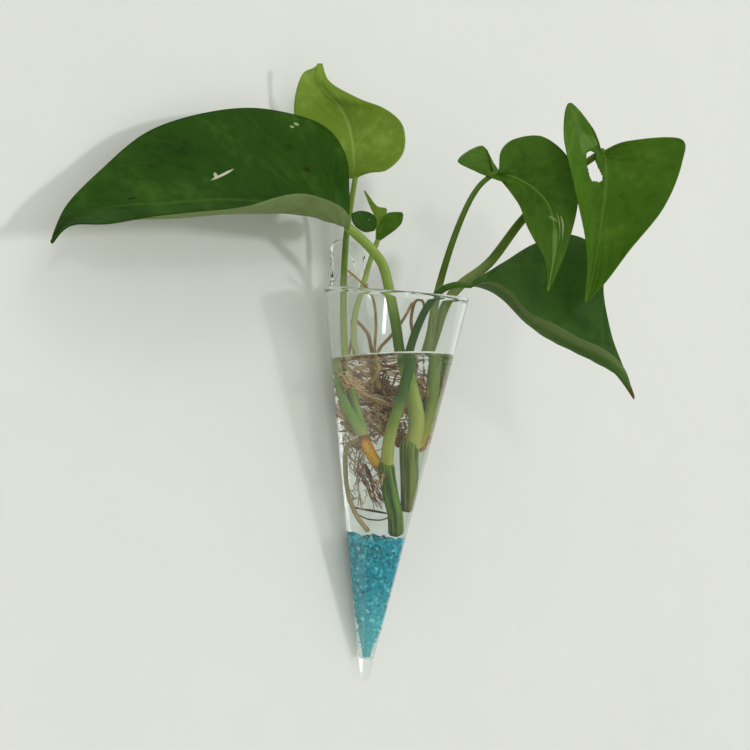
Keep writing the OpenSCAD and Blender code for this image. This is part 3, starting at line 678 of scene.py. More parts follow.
def along(points, u):
    """Catmull-Rom curve: between two points a cubic, whose slope at each is half the step
    between the points on either side of it. u runs from 0 to 1 over the whole table."""
    p = np.asarray(points, float)
    last = len(p) - 1
    t = np.clip(np.asarray(u, float) * last, 0, last)
    k = np.minimum(t.astype(int), last - 1)
    t = (t - k)[..., None]
    a, b, c, d = (p[np.clip(k + i, 0, last)] for i in (-1, 0, 1, 2))
    square, cube = (2 * a - 5 * b + 4 * c - d) * t**2, (3 * b - a - 3 * c + d) * t**3
    return (2 * b + (c - a) * t + square + cube) / 2


# %% Tubes
DOME_STEPS, DOME_RADII = (0.45, 0.75), (0.8, 0.01)      # shares of a tube's end radius


def tubes(paths, radii, sides):
    """Many tubes at once. paths is (count, steps, 3) and radii (count, steps). A ring is
    path + radius * (side * cos a + other * sin a). side is the direction that the whole path
    runs along least, made square to the heading. Both ends close in a small dome.
    Returns points, faces, the attribute "skin" (cos a, sin a, mm along) and "share" 0 to 1."""
    paths, radii = np.asarray(paths, float), np.asarray(radii, float)
    ahead = unit(np.gradient(paths, axis=1))
    for end, way in ((0, -1), (-1, 1)):
        tip, r, t = paths[:, end], radii[:, end], ahead[:, end]
        dome = (np.stack([tip + way * t * (r * k)[:, None] for k in DOME_STEPS], 1),
                np.stack([r * k for k in DOME_RADII], 1), np.stack([t, t], 1))
        paths, radii, ahead = (
            np.concatenate([whole, part] if way > 0 else [part[:, ::-1], whole], 1)
            for whole, part in zip((paths, radii, ahead), dome))
    least = np.linalg.svd(ahead)[2][:, 2][:, None, :]
    side = unit(least - (least * ahead).sum(-1, keepdims=True) * ahead)
    other = np.cross(ahead, side)
    count, steps = radii.shape
    a = np.arange(sides) * 2 * math.pi / sides
    ring = side[:, :, None] * np.cos(a)[:, None] + other[:, :, None] * np.sin(a)[:, None]
    points = paths[:, :, None] + radii[:, :, None, None] * ring
    firsts = (np.arange(count) * steps * sides)[:, None]
    cells = (sheet(points[0], True)[1][0] + firsts[..., None]).reshape(-1, 4)
    final = np.arange(sides) + (steps - 1) * sides + firsts
    steps_mm = np.linalg.norm(np.diff(paths, axis=1), axis=-1)
    length = np.pad(np.cumsum(steps_mm, 1), ((0, 0), (1, 0)))[:, :, None]
    skin = np.broadcast_arrays(np.cos(a), np.sin(a), length)
    share = np.broadcast_to(length / length[:, -1:], skin[0].shape)
    attributes = {"skin": np.stack(skin, -1).reshape(-1, 3), "share": share.reshape(-1)}
    return points.reshape(-1, 3), [cells, np.arange(sides)[::-1] + firsts, final], attributes


# %% [markdown]
# A stalk goes from yellowish where it stands in water to green above it, so the colour runs
# along the tube, by its share of length. Fine streaks follow the stem: noise stretched along
# it, whose place is a point's direction round the stem and its millimetres along.

# %% Stem finishes
STREAKS, (place, stretch, fineness, contrast), (out,) = new_group(
    "stem_streaks", {"Place": None, "Stretch": 0.05, "Fineness": 3.0, "Contrast": 2.2}, ["Tone"])
split = node(STREAKS, "SeparateXYZ", {0: place})
drawn = node(STREAKS, "CombineXYZ", {0: split, 1: split["Y"], 2: split["Z"] * stretch})
grain = node(STREAKS, "TexNoise", {"Vector": drawn, "Scale": fineness, "Detail": 3.0})
((grain - 0.5) * contrast + 0.5).clamped().to(out)


def stem_finish(name, streak, dark, stops, **streaks):
    """Colours along the stem by its share of length, darker streaks over them."""
    made, sockets, place = finish(name, 0.38, Specular_IOR_Level=0.14)
    share = carried(place.tree, "share")
    skin = carried(place.tree, "skin", "Vector")
    lines = use(STREAKS, skin, **streaks)
    cloud = use(CLOUD, place, Scale=90.0, Contrast=1.6)
    colour = mixed(lines * dark, ramp(share, stops), streak)
    mixed(cloud * 0.25, colour, streak).to(sockets["Base Color"])
    bump(lines, 0.3, 0.0003, sockets)
    return made


BARK = dict(Stretch=0.015, Fineness=2.8, Contrast=5.0)
STEM_FINISHES = [
    # name, colour of the streaks, their strength, colours along the stem
    ("green_vine", "0e2606", 0.85, "0 706830, 0.08 5a7c24, 0.6 648e2c, "
     "1 789e32", BARK),
    ("pale_vine", "243812", 0.8, "0 786034, 0.12 7c7a36, 0.6 7e8e38, "
     "1 92a43e", BARK),
    ("yellow_stub", "b2701e", 0.4, "0 68841e, 0.12 848c22, "
     "0.24 e2b228, 0.7 e8a62c, 0.84 804e22, 1 382416", {}),
    ("stalk_green", "547424", 0.35, "0 c4a86e, 0.03 b4b460, "
     "0.2 a6b25a, 0.33 809e3e, 0.37 46641a, 0.5 547422, "
     "0.64 96ac54, 1 8ea84e", {}),
    ("stalk_pale", "627c34", 0.3, "0 aab46c, 0.1 78a03e, 0.24 709236, "
     "0.34 a0ae60, 0.58 98a860, 0.66 688830, 1 829e42", {}),
    ("stalk_dark", "345214", 0.45, "0 ceac54, 0.06 a8a642, 0.2 7e963c, "
     "0.34 92a260, 0.5 8a9c5a, 0.6 54701e, 1 62822c", {}),
    ("stalk_front", "1e440c", 0.45, "0 c8c064, 0.1 acb456, "
     "0.24 8ca046, 0.34 486c22, 0.7 345616, 1 507224", {}),
    ("stalk_young", "789446", 0.3, "0 78963c, 0.3 809e46, "
     "0.42 c4d094, 0.7 becc88, 1 96b054", {}),
]
finishes = {}
for name, streak, dark, stops, streaks in STEM_FINISHES:
    finishes[name] = stem_finish(name, streak, dark, stops, **streaks)
print("stem finishes:", list(finishes))

# %% [markdown]
# The two vine pieces are cut lengths with a swollen ring where leaves once grew, and the stub
# is an old stalk that has yellowed and dried brown at its end. The leaf stalks are thinner
# towards their leaves. Drawing each by hand would repeat the same steps, so a table gives
# what differs: the names, the finish, the diameters in mm, the rings and the middle line.

# %% Vine pieces, the stub and the leaf stalks
STALK_ROOM, STEM_SIDES, JOINT_LENGTH = 3.0, 28, 0.025


def stem(name, stands_for, finish_name, slot, steps, diameters, joints, shares):
    """One stem, whose diameters are spread evenly along it. joints are (share, swelling):
    rings where leaves or roots once grew, each a bell curve added to the radius. Returns the
    stem's end."""
    u = np.linspace(0, 1, steps)
    path = along(in_vase(points_of(shares), STALK_ROOM), u)
    radii = along(np.array(diameters)[:, None], u)[:, 0] / 2
    for centre, swell in joints:
        radii *= 1 + swell * np.exp(-((u - centre) / JOINT_LENGTH) ** 2)
    points, faces, attributes = tubes(path[None], radii[None], STEM_SIDES)
    make(name, points, faces, "cuttings", [finishes[finish_name]], slot, stands_for, attributes)
    return path[-1]


STEMS = [
    ("front_vine_length", "front_vine_piece", "green_vine", "green_vine", 90,
     [6.1, 5.9, 5.9, 6.4], [(0.93, 0.07)], """
         320 -720 20, 170 -600 100, 0 -460 170, -200 -280 304"""),
    ("middle_vine_length", "middle_vine_piece", "pale_vine", "pale_vine", 90,
     [6.4, 6.7, 6.8, 7.4], [(0.94, 0.03)], """
         640 -670 124, 490 -520 246, 400 -430 330, 360 -390 397"""),
    ("old_stub", "vine_stub", "yellow_stub", "yellow_stub", 90,
     [4.6, 4.5, 4.0], [], "-250 -200 285, -360 -20 330, -430 120 380, -450 200 421"),
    ("large_leaf_stalk_grown", "large_leaf_stalk", "stalk_green", "stalk_green", 120,
     [5.98, 5.06, 4.6, 4.14], [], """
         400 -440 385, 360 -450 500, 200 -340 620, 100 -240 709, 50 -140 780, 0 -40 880,
         -100 60 1010, -220 110 1110, -430 140 1170, -650 180 1215, -840 200 1249"""),
    ("light_leaf_stalk_grown", "light_leaf_stalk", "stalk_pale", "stalk_pale", 120,
     [4.5, 3.6, 3, 2.4], [], """
         -440 200 420, -590 470 524, -670 600 609, -630 630 700, -600 680 800, -510 700 1000,
         -400 690 1209, -370 620 1326, -360 510 1466"""),
    ("young_leaf_stalk_grown", "young_leaf_stalk", "stalk_young", "stalk_pale", 120,
     [3, 3, 2.4], [], """
         -380 150 400, -380 380 520, -300 550 620, -280 680 710, -290 740 800, -240 720 904,
         -140 640 1007, -20 580 1128, 40 490 1219"""),
    ("curled_leaf_stalk_grown", "curled_leaf_stalk", "stalk_dark", "stalk_dark", 120,
     [4.6, 4.6, 3, 2.4], [], """
         540 -440 392, 600 -460 480, 570 -460 600, 500 -430 728, 520 -440 850, 550 -380 1007,
         610 -400 1203, 690 -450 1374, 760 -530 1479, 860 -650 1542"""),
    ("notched_leaf_stalk_grown", "notched_leaf_stalk", "stalk_dark", "stalk_dark", 120,
     [4.6, 4.6, 4.6, 3], [], """
         540 -350 390, 760 -250 470, 840 -200 600, 810 -220 700, 820 -300 820, 830 -380 970,
         940 -480 1060, 1250 -670 1171, 1480 -800 1363, 1660 -1020 1538, 1720 -1380 1673"""),
    ("front_leaf_stalk_grown", "front_leaf_stalk", "stalk_front", "stalk_dark", 120,
     [4.83, 4.14, 3.3, 2.7], [], """
         -200 -330 306, -260 -400 433, -160 -460 560, -70 -480 700, -30 -520 820, 20 -650 944,
         70 -830 1020, 170 -1010 1052, 440 -1100 1058"""),
]
stem_ends = {row[1]: stem(*row) for row in STEMS}
print("stems end at", {name: np.round(end).tolist() for name, end in stem_ends.items()})

# %% [markdown]
# ## Leaves
#
# Each leaf is stretched between three lines in space: its midrib and its two margins. Across
# the leaf a parabola joins margin, midrib and margin, so the blade can fold, cup or twist
# as the photo shows; a flat leaf bent by modifiers would not reach such folds. On that sheet
# lie a groove over the midrib, a soft quilting between the side veins and a wave along the
# margin, all added along the surface's normal. A Solidify modifier gives the sheet its
# thickness and its second face the finish of the underside, which is paler on most leaves.

# %% Leaf surface
LEAF_THICKNESS = 0.55
FULL_SIZE = 140            # relief is full on a leaf of this length
GROOVE, GROOVE_WIDTH = 0.5, 0.06
QUILT, QUILT_PAIRS, QUILT_SLANT = 0.32, 10, 0.32
RIPPLES, FADE = 23, 8      # radians of wave from end to end; relief starts over an eighth


def inside(p, corners):
    """Which points lie in an outline: those from which a line crosses it an odd number of
    times."""
    (ax, ay), (bx, by) = corners.T, np.roll(corners, -1, 0).T
    px, py = p[:, :1], p[:, 1:]
    slope = (bx - ax) * (py - ay) / (by - ay + 1e-12)
    crossed = ((ay > py) != (by > py)) & (px < slope + ax)
    return crossed.sum(1) % 2 == 1


def leaf(name, end, size, outline, materials, slot, stands_for, wave, upside=1,
         rows=110, columns=56, hole=None):
    """A leaf of length size from the stalk's end. Its outline is three tables of points in
    shares of the size: rib, left and right margin. Across, a point at s from -1 to 1 lies at
    rib + s (right - left) / 2 + s^2 ((right + left) / 2 - rib). Along the normal it moves by
    a groove, -0.5 exp(-(s / 0.06)^2), a quilting that peaks between side veins, and a wave
    of the margin that grows with s^4. hole is a table of (u, s) corners; squares whose
    middles lie inside it are left out."""
    u = np.linspace(0, 1, rows)[:, None]
    s = np.linspace(-1, 1, columns)[None, :]
    m, l, r = (along(points_of(line), u) for line in outline.split("/"))
    k = s[..., None]
    grid = end + size * (m + k * (r - l) / 2 + k * k * ((r + l) / 2 - m))
    normal = unit(np.cross(np.gradient(grid, axis=1), np.gradient(grid, axis=0)))
    fade = np.clip(np.minimum(u, 1 - u) * FADE, 0, 1) * (size / FULL_SIZE) ** 0.5
    groove = -GROOVE * np.exp(-((s / GROOVE_WIDTH) ** 2))
    swell = np.abs(np.sin(math.pi * (u - QUILT_SLANT * np.abs(s) ** 0.8) * QUILT_PAIRS))
    quilt = QUILT * swell * (1 - np.abs(s)) ** 0.5 * np.minimum(np.abs(s) * 5, 1)
    ripple = wave * np.sin(u * RIPPLES + 2 * np.sign(s)) * np.abs(s) ** 4
    grid = grid + normal * (((groove + quilt) * upside + ripple) * fade)[..., None]
    points, (cells,) = sheet(grid)
    blade = np.stack(np.broadcast_arrays(u, s, 0.0), -1).reshape(-1, 3)
    if hole:
        cells = cells[~inside(blade[cells].mean(1)[:, :2], points_of(hole))]
    if upside < 0:
        cells = cells[:, ::-1]
    piece = make(name, points, [cells], "cuttings", materials, slot, stands_for,
                 {"blade": blade})
    body = piece.modifiers.new("thickness", "SOLIDIFY")
    body.thickness = LEAF_THICKNESS * MM
    body.offset = 0
    body.material_offset = 1
    body.material_offset_rim = 0


# %% [markdown]
# A leaf's finish reads the blade's own coordinates, its share along and its share across
# from -1 to 1. The midrib is a line where the second is zero; the side veins are lines of
# equal "along less a slant", which sweep towards the tip as they near the edge. Spots, scars,
# painted highlights and patches of painted light are ovals with a ragged edge. An image could
# hold all this, but would blur close by.

# %% Veins and marks
MIDRIB_HALF = 0.045        # share of the half blade
VEINS, (place, pairs, sweep), outs = new_group(
    "leaf_veins", {"Place": None, "Pairs": 9.0, "Sweep": 0.3}, ["Midrib", "Side", "Relief"])
split = node(VEINS, "SeparateXYZ", {0: place})
aside = split["Y"].maths("ABSOLUTE")
wander = node(VEINS, "TexNoise", {"Vector": place, "Scale": 3.0})
slant = aside.maths("POWER", 0.8) * sweep + wander * 0.05
saw = (((split["X"] - slant) * pairs).maths("FRACT") - 0.5).maths("ABSOLUTE")
midrib = (1.0 - aside / MIDRIB_HALF).clamped()
side_vein = (1.0 - saw * 14.0).clamped()
for value, out in zip((midrib, side_vein, saw * 2.0 - midrib), outs):
    value.to(out)

MARK, (place, along_blade, across, turn, long, wide), (out,) = new_group("blade_mark", {
    "Place": None, "Along": 0.0, "Across": 0.0, "Turn": 0.0, "Long": 1.0, "Wide": 1.0}, ["Mask"])
local = node(MARK, "Mapping", {
    "Vector": place, "Location": node(MARK, "CombineXYZ", {0: along_blade, 1: across}),
    "Rotation": node(MARK, "CombineXYZ", {2: turn}),
    "Scale": node(MARK, "CombineXYZ", {0: long, 1: wide, 2: 1.0})}, vector_type="TEXTURE")
span = node(MARK, "VectorMath", {0: local}, operation="LENGTH")["Value"]
rag = node(MARK, "TexNoise", {"Vector": place, "Scale": 0.9, "Detail": 2.0})
(span + rag * 0.5).between(1.35, 1.1).to(out)
print("groups:", [group.name for group in bpy.data.node_groups])

# %% Leaf finishes
BLADE_LONG, BLADE_HALF = 110, 45       # mm: the blade that the marks are laid out on
BROWN_TIP = (0.93, "604226")


def leaf_finish(name, tones, vein, roughness, pairs, sweep=0.34, shine=0.05, under=False,
                marks="", tip=None, band=None):
    """Three tones drifting over the blade, veins from the blade's own coordinates. marks are
    written as share along, share across, turn, half length and half width in mm, colour. tip
    is a place and colour for the last of the blade, and band the same for the strip beside
    the right margin."""
    made, sockets, place = finish(name, roughness, Subsurface_Weight=0.06,
                                  Subsurface_Scale=0.001, Specular_IOR_Level=shine)
    tree = place.tree
    blade = carried(tree, "blade", "Vector")
    split = node(tree, "SeparateXYZ", {0: blade})
    cloud = use(CLOUD, place, Scale=38.0, Contrast=1.8)
    stops = zip((0.1, 0.5, 0.9), tones.split())
    colour = ramp(cloud, ", ".join(f"{place} {tone}" for place, tone in stops))
    veins = use(VEINS, blade, Pairs=pairs, Sweep=sweep)
    colour = mixed(veins["Side"] * (0.2 if under else 0.12), colour, vein)
    colour = mixed(veins["Midrib"] * 0.5, colour, vein)
    specks = use(SPECKS, place, Scale=150.0, Size=0.1, Amount=0.05)
    colour = mixed(specks * 0.5, colour, "3c4222")
    if band:
        strip = split["Y"].between(band[0], band[0] + 0.12)
        colour = mixed(strip * 0.85, colour, band[1])
    in_mm = node(tree, "VectorMath", {0: blade, 1: (BLADE_LONG, BLADE_HALF, 0)},
                 operation="MULTIPLY")
    for mark in filter(None, marks.split(",")):
        *numbers, tone = mark.split()
        share, aside, turn, long, wide = map(float, numbers)
        # Marks are spots and scars, and also painted highlights and patches of painted light.
        spot_and_painted_light = use(MARK, in_mm, Along=share * BLADE_LONG, Across=aside * BLADE_HALF,
                   Turn=math.radians(turn), Long=long, Wide=wide)
        colour = mixed(spot_and_painted_light * 0.9, colour, tone)
    if tip:
        colour = mixed(split["X"].between(tip[0], tip[0] + 0.04), colour, tip[1])
    colour.to(sockets["Base Color"])
    (cloud * 0.14 + (roughness - 0.05)).to(sockets["Roughness"])
    grain = node(tree, "TexNoise", {"Vector": place, "Scale": 900.0, "Detail": 2.0})
    bump(veins["Relief"] * (-0.6 if under else 0.5) + grain * 0.15, 0.35, 0.0006, sockets)
    return made


DEEP = "1c3808 284a0f 3c5e1c"
GLOSSY = "284a12 365a1c 466a28"
FRESH = "325610 466c1a 60862c"
LEAF_FINISHES = [
    # leaf_large: a pale scar, two dark spots, and two pale rings that are painted highlights of
    # water drops.
    ("leaf_large", DEEP, "486a28", 0.42, 11.0, dict(marks=(
        "0.55 -0.37 50 3.9 0.5 ccccb2, 0.563 -0.362 95 1.9 0.4 c4bea0,"
        "0.724 -0.143 20 1.1 0.8 1e1a0c, 0.347 -0.563 0 1.2 0.9 282610,"
        "0.387 -0.93 0 0.6 0.5 96aa78, 0.395 -0.9 0 0.5 0.4 96aa78"))),
    ("leaf_dark", GLOSSY, "406226", 0.32, 11.0, dict(shine=0.12, tip=BROWN_TIP)),
    # leaf_mid: a brown spot, and two lighter patches on the left half that are painted light
    # where the fold faces the lamp.
    ("leaf_mid", FRESH, "688a36", 0.36, 9.0, dict(marks=(
        "0.211 0.025 0 1.5 1.2 5c3a1a, 0.2 -0.62 30 14.0 5.0 5c7e34,"
        "0.1 -0.2 80 8.0 2.0 6c8a42"))),
    # leaf_curled: pale streaks near the tip are painted highlights, and the pale patch at the tip
    # is painted light shining through the leaf.
    ("leaf_curled", FRESH, "7e9a3e", 0.3, 9.0, dict(shine=0.1, marks=(
        "0.66 0.0 60 6.0 1.0 849e5c, 0.74 0.35 30 8.0 1.2 a8ba86,"
        "0.72 0.2 12 9.0 0.8 96ae70, 0.83 0.0 4 13.0 7.0 709046"))),
    ("leaf_light", "5e7e24 729030 8eaa48", "b2c476", 0.4, 8.0,
     dict(sweep=0.3)),
    ("leaf_under", "627642 728450 829460", "889a64", 0.55, 11.0,
     dict(under=True)),
    ("leaf_under_front", "36541e 426028 526e34", "546a36", 0.5, 11.0,
     dict(band=(0.78, "627444"), tip=BROWN_TIP)),
    ("leaf_under_light", "5c7c2a 6e8c36 7e9a42", "96ac64", 0.55, 8.0,
     dict(sweep=0.3, under=True)),
]
for *values, extra in LEAF_FINISHES:
    finishes[values[0]] = leaf_finish(*values, **extra)
print("leaf finishes:", [row[0] for row in LEAF_FINISHES])

# %% [markdown]
# Five leaves, a young leaf still rolled up, and the pale sheath that it came out of. The
# large leaf also has a lobe that hangs behind its stalk, drawn as a leaf of its own because
# one sheet between three lines can't turn back on itself. A row gives a leaf's names, the
# stalk that it ends, its length in mm, the finishes of its faces, and its rib, left and
# right margin.

# %% Leaves, young shoot and lobe
LEAVES = [
    ("large_leaf_lobe", None, "large_leaf_stalk", 12, "leaf_large", "leaf_under",
     "leaf_dark", dict(wave=0.1, rows=30, columns=24), """
         249 0 511, 630 67 457, 1030 100 322, 1365 117 212, 1587 125 124 /
         252 0 549, 898 208 742, 1482 250 746, 1747 200 539, 1654 133 171 /
         247 0 474, 199 -83 192, 433 -100 -7, 913 -42 -93, 1501 100 34"""),
    ("large_leaf_blade", "large_leaf", "large_leaf_stalk", 142, "leaf_large", "leaf_under",
     "leaf_dark", dict(wave=0.7, upside=-1), """
         0 0 0, -40 -5 5, -95 -15 15, -200 -20 30, -330 -20 30, -495 -5 20, -680 20 -10,
         -830 50 -35, -930 65 -75, -980 75 -140 /
         5 5 10, 45 30 110, 55 50 240, -30 75 335, -220 100 355, -420 115 310, -645 120 215,
         -815 115 70, -925 100 -45, -980 75 -135 /
         -5 -5 -10, -80 -90 0, -190 -150 20, -335 -190 20, -460 -190 -5, -585 -160 -40,
         -770 -105 -80, -880 -50 -95, -945 30 -100, -980 70 -142"""),
    ("light_leaf_blade", "light_leaf", "light_leaf_stalk", 56, "leaf_light",
     "leaf_under_light", "leaf_light", dict(wave=0.3), """
         0 0 0, -5 0 50, -5 0 125, -20 -10 270, -70 -20 430, -155 -20 550, -245 0 635,
         -300 35 760, -285 70 905 /
         -10 10 0, -70 105 10, -205 180 70, -355 230 225, -415 250 480, -415 230 665,
         -355 195 840, -330 80 870, -305 70 905 /
         10 -10 0, 5 -160 15, 85 -285 25, 180 -375 165, 190 -375 380, 90 -285 520,
         -100 -160 605, -255 -10 740, -265 60 910"""),
    ("front_leaf_blade", "front_leaf", "front_leaf_stalk", 98, "leaf_dark",
     "leaf_under_front", "leaf_dark", dict(wave=0.6), """
         0 0 0, 70 -25 -10, 145 -55 -45, 240 -120 -130, 330 -180 -190, 425 -240 -250,
         525 -320 -350, 590 -375 -425, 675 -405 -540 /
         0 0 15, 115 5 65, 310 25 145, 525 5 245, 705 -100 290, 765 -220 185, 695 -260 -30,
         640 -335 -265, 680 -405 -525 /
         -5 -5 -10, -30 -120 5, -10 -210 -45, 50 -280 -145, 150 -335 -205, 285 -365 -258,
         445 -405 -315, 590 -410 -395, 665 -410 -535"""),
    ("curled_leaf_blade", "curled_leaf", "curled_leaf_stalk", 66, "leaf_curled",
     "leaf_curled", "leaf_mid", dict(wave=0.4), """
         0 0 0, 30 -30 -15, 75 -100 -50, 130 -205 -130, 175 -295 -260, 175 -340 -435,
         140 -345 -630, 65 -330 -875 /
         -20 10 10, 75 165 235, -185 190 85, -20 45 15, 65 -110 -210, 65 -200 -425,
         100 -300 -670, 55 -330 -870 /
         20 -15 20, 45 -25 160, 115 -100 235, 225 -260 225, 305 -405 50, 295 -465 -225,
         185 -415 -595, 75 -335 -870"""),
    ("notched_leaf_blade", "notched_leaf", "notched_leaf_stalk", 76, "leaf_mid", "leaf_mid",
     "leaf_mid", dict(wave=0.4, rows=150, columns=90, hole="""
         195 -400, 200 -310, 260 -200, 330 -60, 370 -70, 390 -260, 340 -360, 260 -430"""), """
             0 0 0, 5 -5 -45, -5 -15 -120, -40 -20 -280, -95 -20 -435, -150 -15 -625,
             -215 0 -815, -280 5 -950 /
             -20 5 15, -95 5 130, -275 45 255, -370 25 40, -380 -20 -240, -330 -55 -560,
             -295 -25 -785, -285 5 -950 /
             20 -15 10, 61 -140 41, 295 -360 47, 214 -405 -126, 65 -335 -415, -90 -175 -670,
             -205 -60 -860, -275 0 -950"""),
    ("young_leaf_blade", "young_leaf", "young_leaf_stalk", 16, "leaf_mid",
     "leaf_under_light", "leaf_mid", dict(wave=0.1, rows=40, columns=24), """
         0 0 0, 95 -125 255, 210 -310 500, 360 -500 675, 465 -625 755 /
         -30 -20 30, 0 -170 560, 105 -345 770, 255 -540 790, 430 -640 775 /
         40 30 -20, 285 -60 155, 460 -250 320, 540 -480 505, 485 -625 720"""),
    ("leaf_sheath_blade", "leaf_sheath", "young_leaf_stalk", 24, "leaf_light",
     "leaf_under_light", "leaf_light", dict(wave=0.1, rows=40, columns=24), """
         0 0 0, 80 0 280, 70 20 500, -55 50 715, -210 85 975 /
         -30 20 10, 20 50 310, -5 60 555, -115 75 720, -220 85 970 /
         30 -20 10, 140 -40 350, 240 -60 640, 35 20 700, -195 75 965"""),
]
for name, stands_for, stalk, size, upper, under, slot, extra, outline in LEAVES:
    leaf(name, stem_ends[stalk], size, outline, [finishes[upper], finishes[under]], slot,
         stands_for, **extra)

# %% [markdown]
# ## Roots
#
# Water roots are long, thin and kinked. The tan ones circle under the water line where the
# glass turns them back, side by side in loose strands, mostly behind the stems. Lower down
# there are short brown ones, a reddish tuft and two dead twigs. Hair curves would render
# fast, but they have no mesh to export. So all the roots of one kind are worked out as tubes
# in one array, and every root has a tone of its own.

# %% Root finishes
BLACK_BAND = "181412"


def root_finish(name, tones, banded=0.0):
    """Skin whose tone is half the root's own and half a drift along it. Where banded is not
    zero, a coarse noise along the root turns some stretches almost black."""
    made, sockets, place = finish(name, 0.55, Specular_IOR_Level=0.12)
    skin = carried(place.tree, "skin", "Vector")
    own = carried(place.tree, "tone")
    lines = use(STREAKS, skin, Stretch=0.12, Fineness=2.0)
    cloud = use(CLOUD, place, Scale=150.0, Contrast=2.0)
    dark, middle, light = tones.split()
    colour = ramp(cloud * 0.5 + own * 0.5, f"0.15 {dark}, 0.5 {middle}, 0.85 {light}")
    colour = mixed(lines * 0.25, colour, rgb(dark))
    if banded:
        bands = use(STREAKS, skin, Stretch=0.35, Fineness=0.8) > 0.5
        colour = mixed(bands * banded, colour, BLACK_BAND)
    colour.to(sockets["Base Color"])
    bump(lines, 0.4, 0.0003, sockets)
    return made


ROOT_FINISHES = [
    ("root_tan", "764a28 e2b87e fff0cc"),
    ("root_brown", "5c3822 9e744c d6b07c"),
    ("root_fine", "583c24 a48256 d8be8e"),
    ("root_olive", "705834 9a8254 bea87a"),
    ("root_red", "582a1a 844a2e a6704e"),
    ("root_dark", "543c26 826646 a08662", 0.9),
    ("root_pale", "887448 a69464 c0b082"),
]
for row in ROOT_FINISHES:
    finishes[row[0]] = root_finish(*row)
print("root finishes:", [row[0] for row in ROOT_FINISHES])

# %% Random picks and waves
ROOT_ROOM, STRAND_ROOM, AT_GLASS, UNDER_WATER = 1.0, 0.9, 0.985, 0.725
HEIGHT_SWAY = 0.1


def picks(low, high, count):
    """One random number for each root."""
    return luck.uniform(low, high, (count, 1))


def waves(t, count, *terms):
    """Sine waves along each root, added up. Each is given as (size, turns along the root),
    and has a random phase and a random share of its turns."""
    return sum(size * np.sin(t * turns * picks(0.7, 1.3, count) * 2 * math.pi
                             + picks(0, 6.3, count)) for size, turns in terms)


def round_axis(degrees, radius, height, room):
    """A place in the vase from an angle and shares of the free radius and of the way up."""
    a = np.radians(degrees)
    xyz = np.broadcast_arrays(radius * np.cos(a), radius * np.sin(a), height)
    return in_vase(np.stack(xyz, -1), room)


# %% Three ways that roots run
def winding(start, sweep, reach, rise, count, steps, wander):
    """count roots from places given as (angle, radius share, height share). The angle grows
    by sweep times t, the radius goes to reach as sqrt(t), the height to rise as t. Sine waves
    with random phases move all three, more strongly towards the free end."""
    t = np.linspace(0, 1, steps)[None, :]
    loose = wander * np.minimum(t * 4, 1)
    angle = start[0] + picks(*sweep, count) * t
    angle = angle + loose * waves(t, count, (9, 2), (4, 6), (1.5, 15))
    radius = start[1] + (picks(*reach, count) - start[1]) * np.sqrt(t)
    radius = radius + loose * waves(t, count, (0.1, 2.3), (0.03, 9))
    height = start[2] + (picks(*rise, count) - start[2]) * t
    height = height + loose * HEIGHT_SWAY * waves(t, count, (0.4, 1.5), (0.12, 6), (0.05, 14))
    return round_axis(angle, np.clip(radius, 0.02, AT_GLASS), height, ROOT_ROOM)


def strands(start, first, final, level, reach, bundles, each, steps):
    """bundles of each roots that circle side by side. A bundle's angle runs evenly from first
    to final and its height follows a slow wave about its level. Its roots differ by a little in
    height, radius and phase. Over the first fifth each root bends over from the node it
    starts at, by a share w = 3 q^2 - 2 q^3 with q = 5 t."""
    def shared(low, high):
        """One random number for each bundle, the same for all its roots."""
        return np.repeat(picks(low, high, bundles), each, 0)

    count = bundles * each
    t = np.linspace(0, 1, steps)[None, :]
    from_angle = shared(*first) + picks(-8, 8, count)
    to_angle = shared(*final) + picks(-12, 12, count)
    even = from_angle + (to_angle - from_angle) * t
    angle = even + waves(t, count, (3, 3)) + waves(t, count, (0.8, 11))
    slow = np.sin(np.radians(even) * shared(0.8, 1.6) + shared(0, 6.3))
    height = shared(*level) + picks(-0.02, 0.02, count) + 0.045 * slow
    height = height + waves(t, count, (0.012, 2.5)) + waves(t, count, (0.003, 12))
    radius = shared(*reach) + picks(-0.07, 0.07, count)
    radius = radius + waves(t, count, (0.05, 1.5)) + waves(t, count, (0.012, 9))
    ring = round_axis(angle, np.clip(radius, 0.1, AT_GLASS), np.minimum(height, UNDER_WATER),
                      STRAND_ROOM)
    q = np.minimum(t * 5, 1)[..., None]
    w = 3 * q * q - 2 * q**3
    return round_axis(*start, STRAND_ROOM) * (1 - w) + ring * w


def frayed(count, steps, loose, wobble, text):
    """count copies of one line in shares, whose later points stray from it by loose, with
    sine waves of wobble mm on top that grow over the first quarter."""
    table = points_of(text)
    later = np.linspace(0.25, 1, len(table))[None, :, None]
    stray = later * luck.normal(0, 1, (count, len(table), 3)) * loose * [1, 1, 0.25]
    moved = table + stray
    reach = np.linalg.norm(moved[..., :2], axis=-1, keepdims=True)
    moved[..., :2] *= np.minimum(1, 0.93 / np.maximum(reach, 1e-6))
    t = np.linspace(0, 1, steps)
    lines = np.stack([along(in_vase(row, ROOT_ROOM), t) for row in moved])
    bends = np.stack([waves(t[None], count, (1, 2), (0.4, 7)) for _ in range(3)], -1)
    return lines + wobble * np.minimum(t * 4, 1)[None, :, None] * bends


# %% Root pieces
def root_piece(name, bunches, finish_name, slot, stands_for=None, sides=6):
    """Joins bunches of (thick end, thin end, paths) into one piece. A root's radius runs
    evenly from half the one to half the other, times a random number of its own."""
    parts, skin, tone = [], [], []
    for thick, thin, paths in bunches:
        count, steps = paths.shape[:2]
        radii = (thick + (thin - thick) * np.linspace(0, 1, steps)[None]) / 2
        points, faces, extra = tubes(paths, radii * luck.uniform(0.7, 1.25, (count, 1)), sides)
        parts.append((points, faces))
        each = len(points) // count
        skin.append(extra["skin"] + np.repeat(luck.random((count, 3)) * [0, 0, 40], each, 0))
        tone.append(np.repeat(luck.random(count), each))
    make(name, *joined(parts), "cuttings", [finishes[finish_name]], slot, stands_for,
         {"skin": np.concatenate(skin), "tone": np.concatenate(tone)})


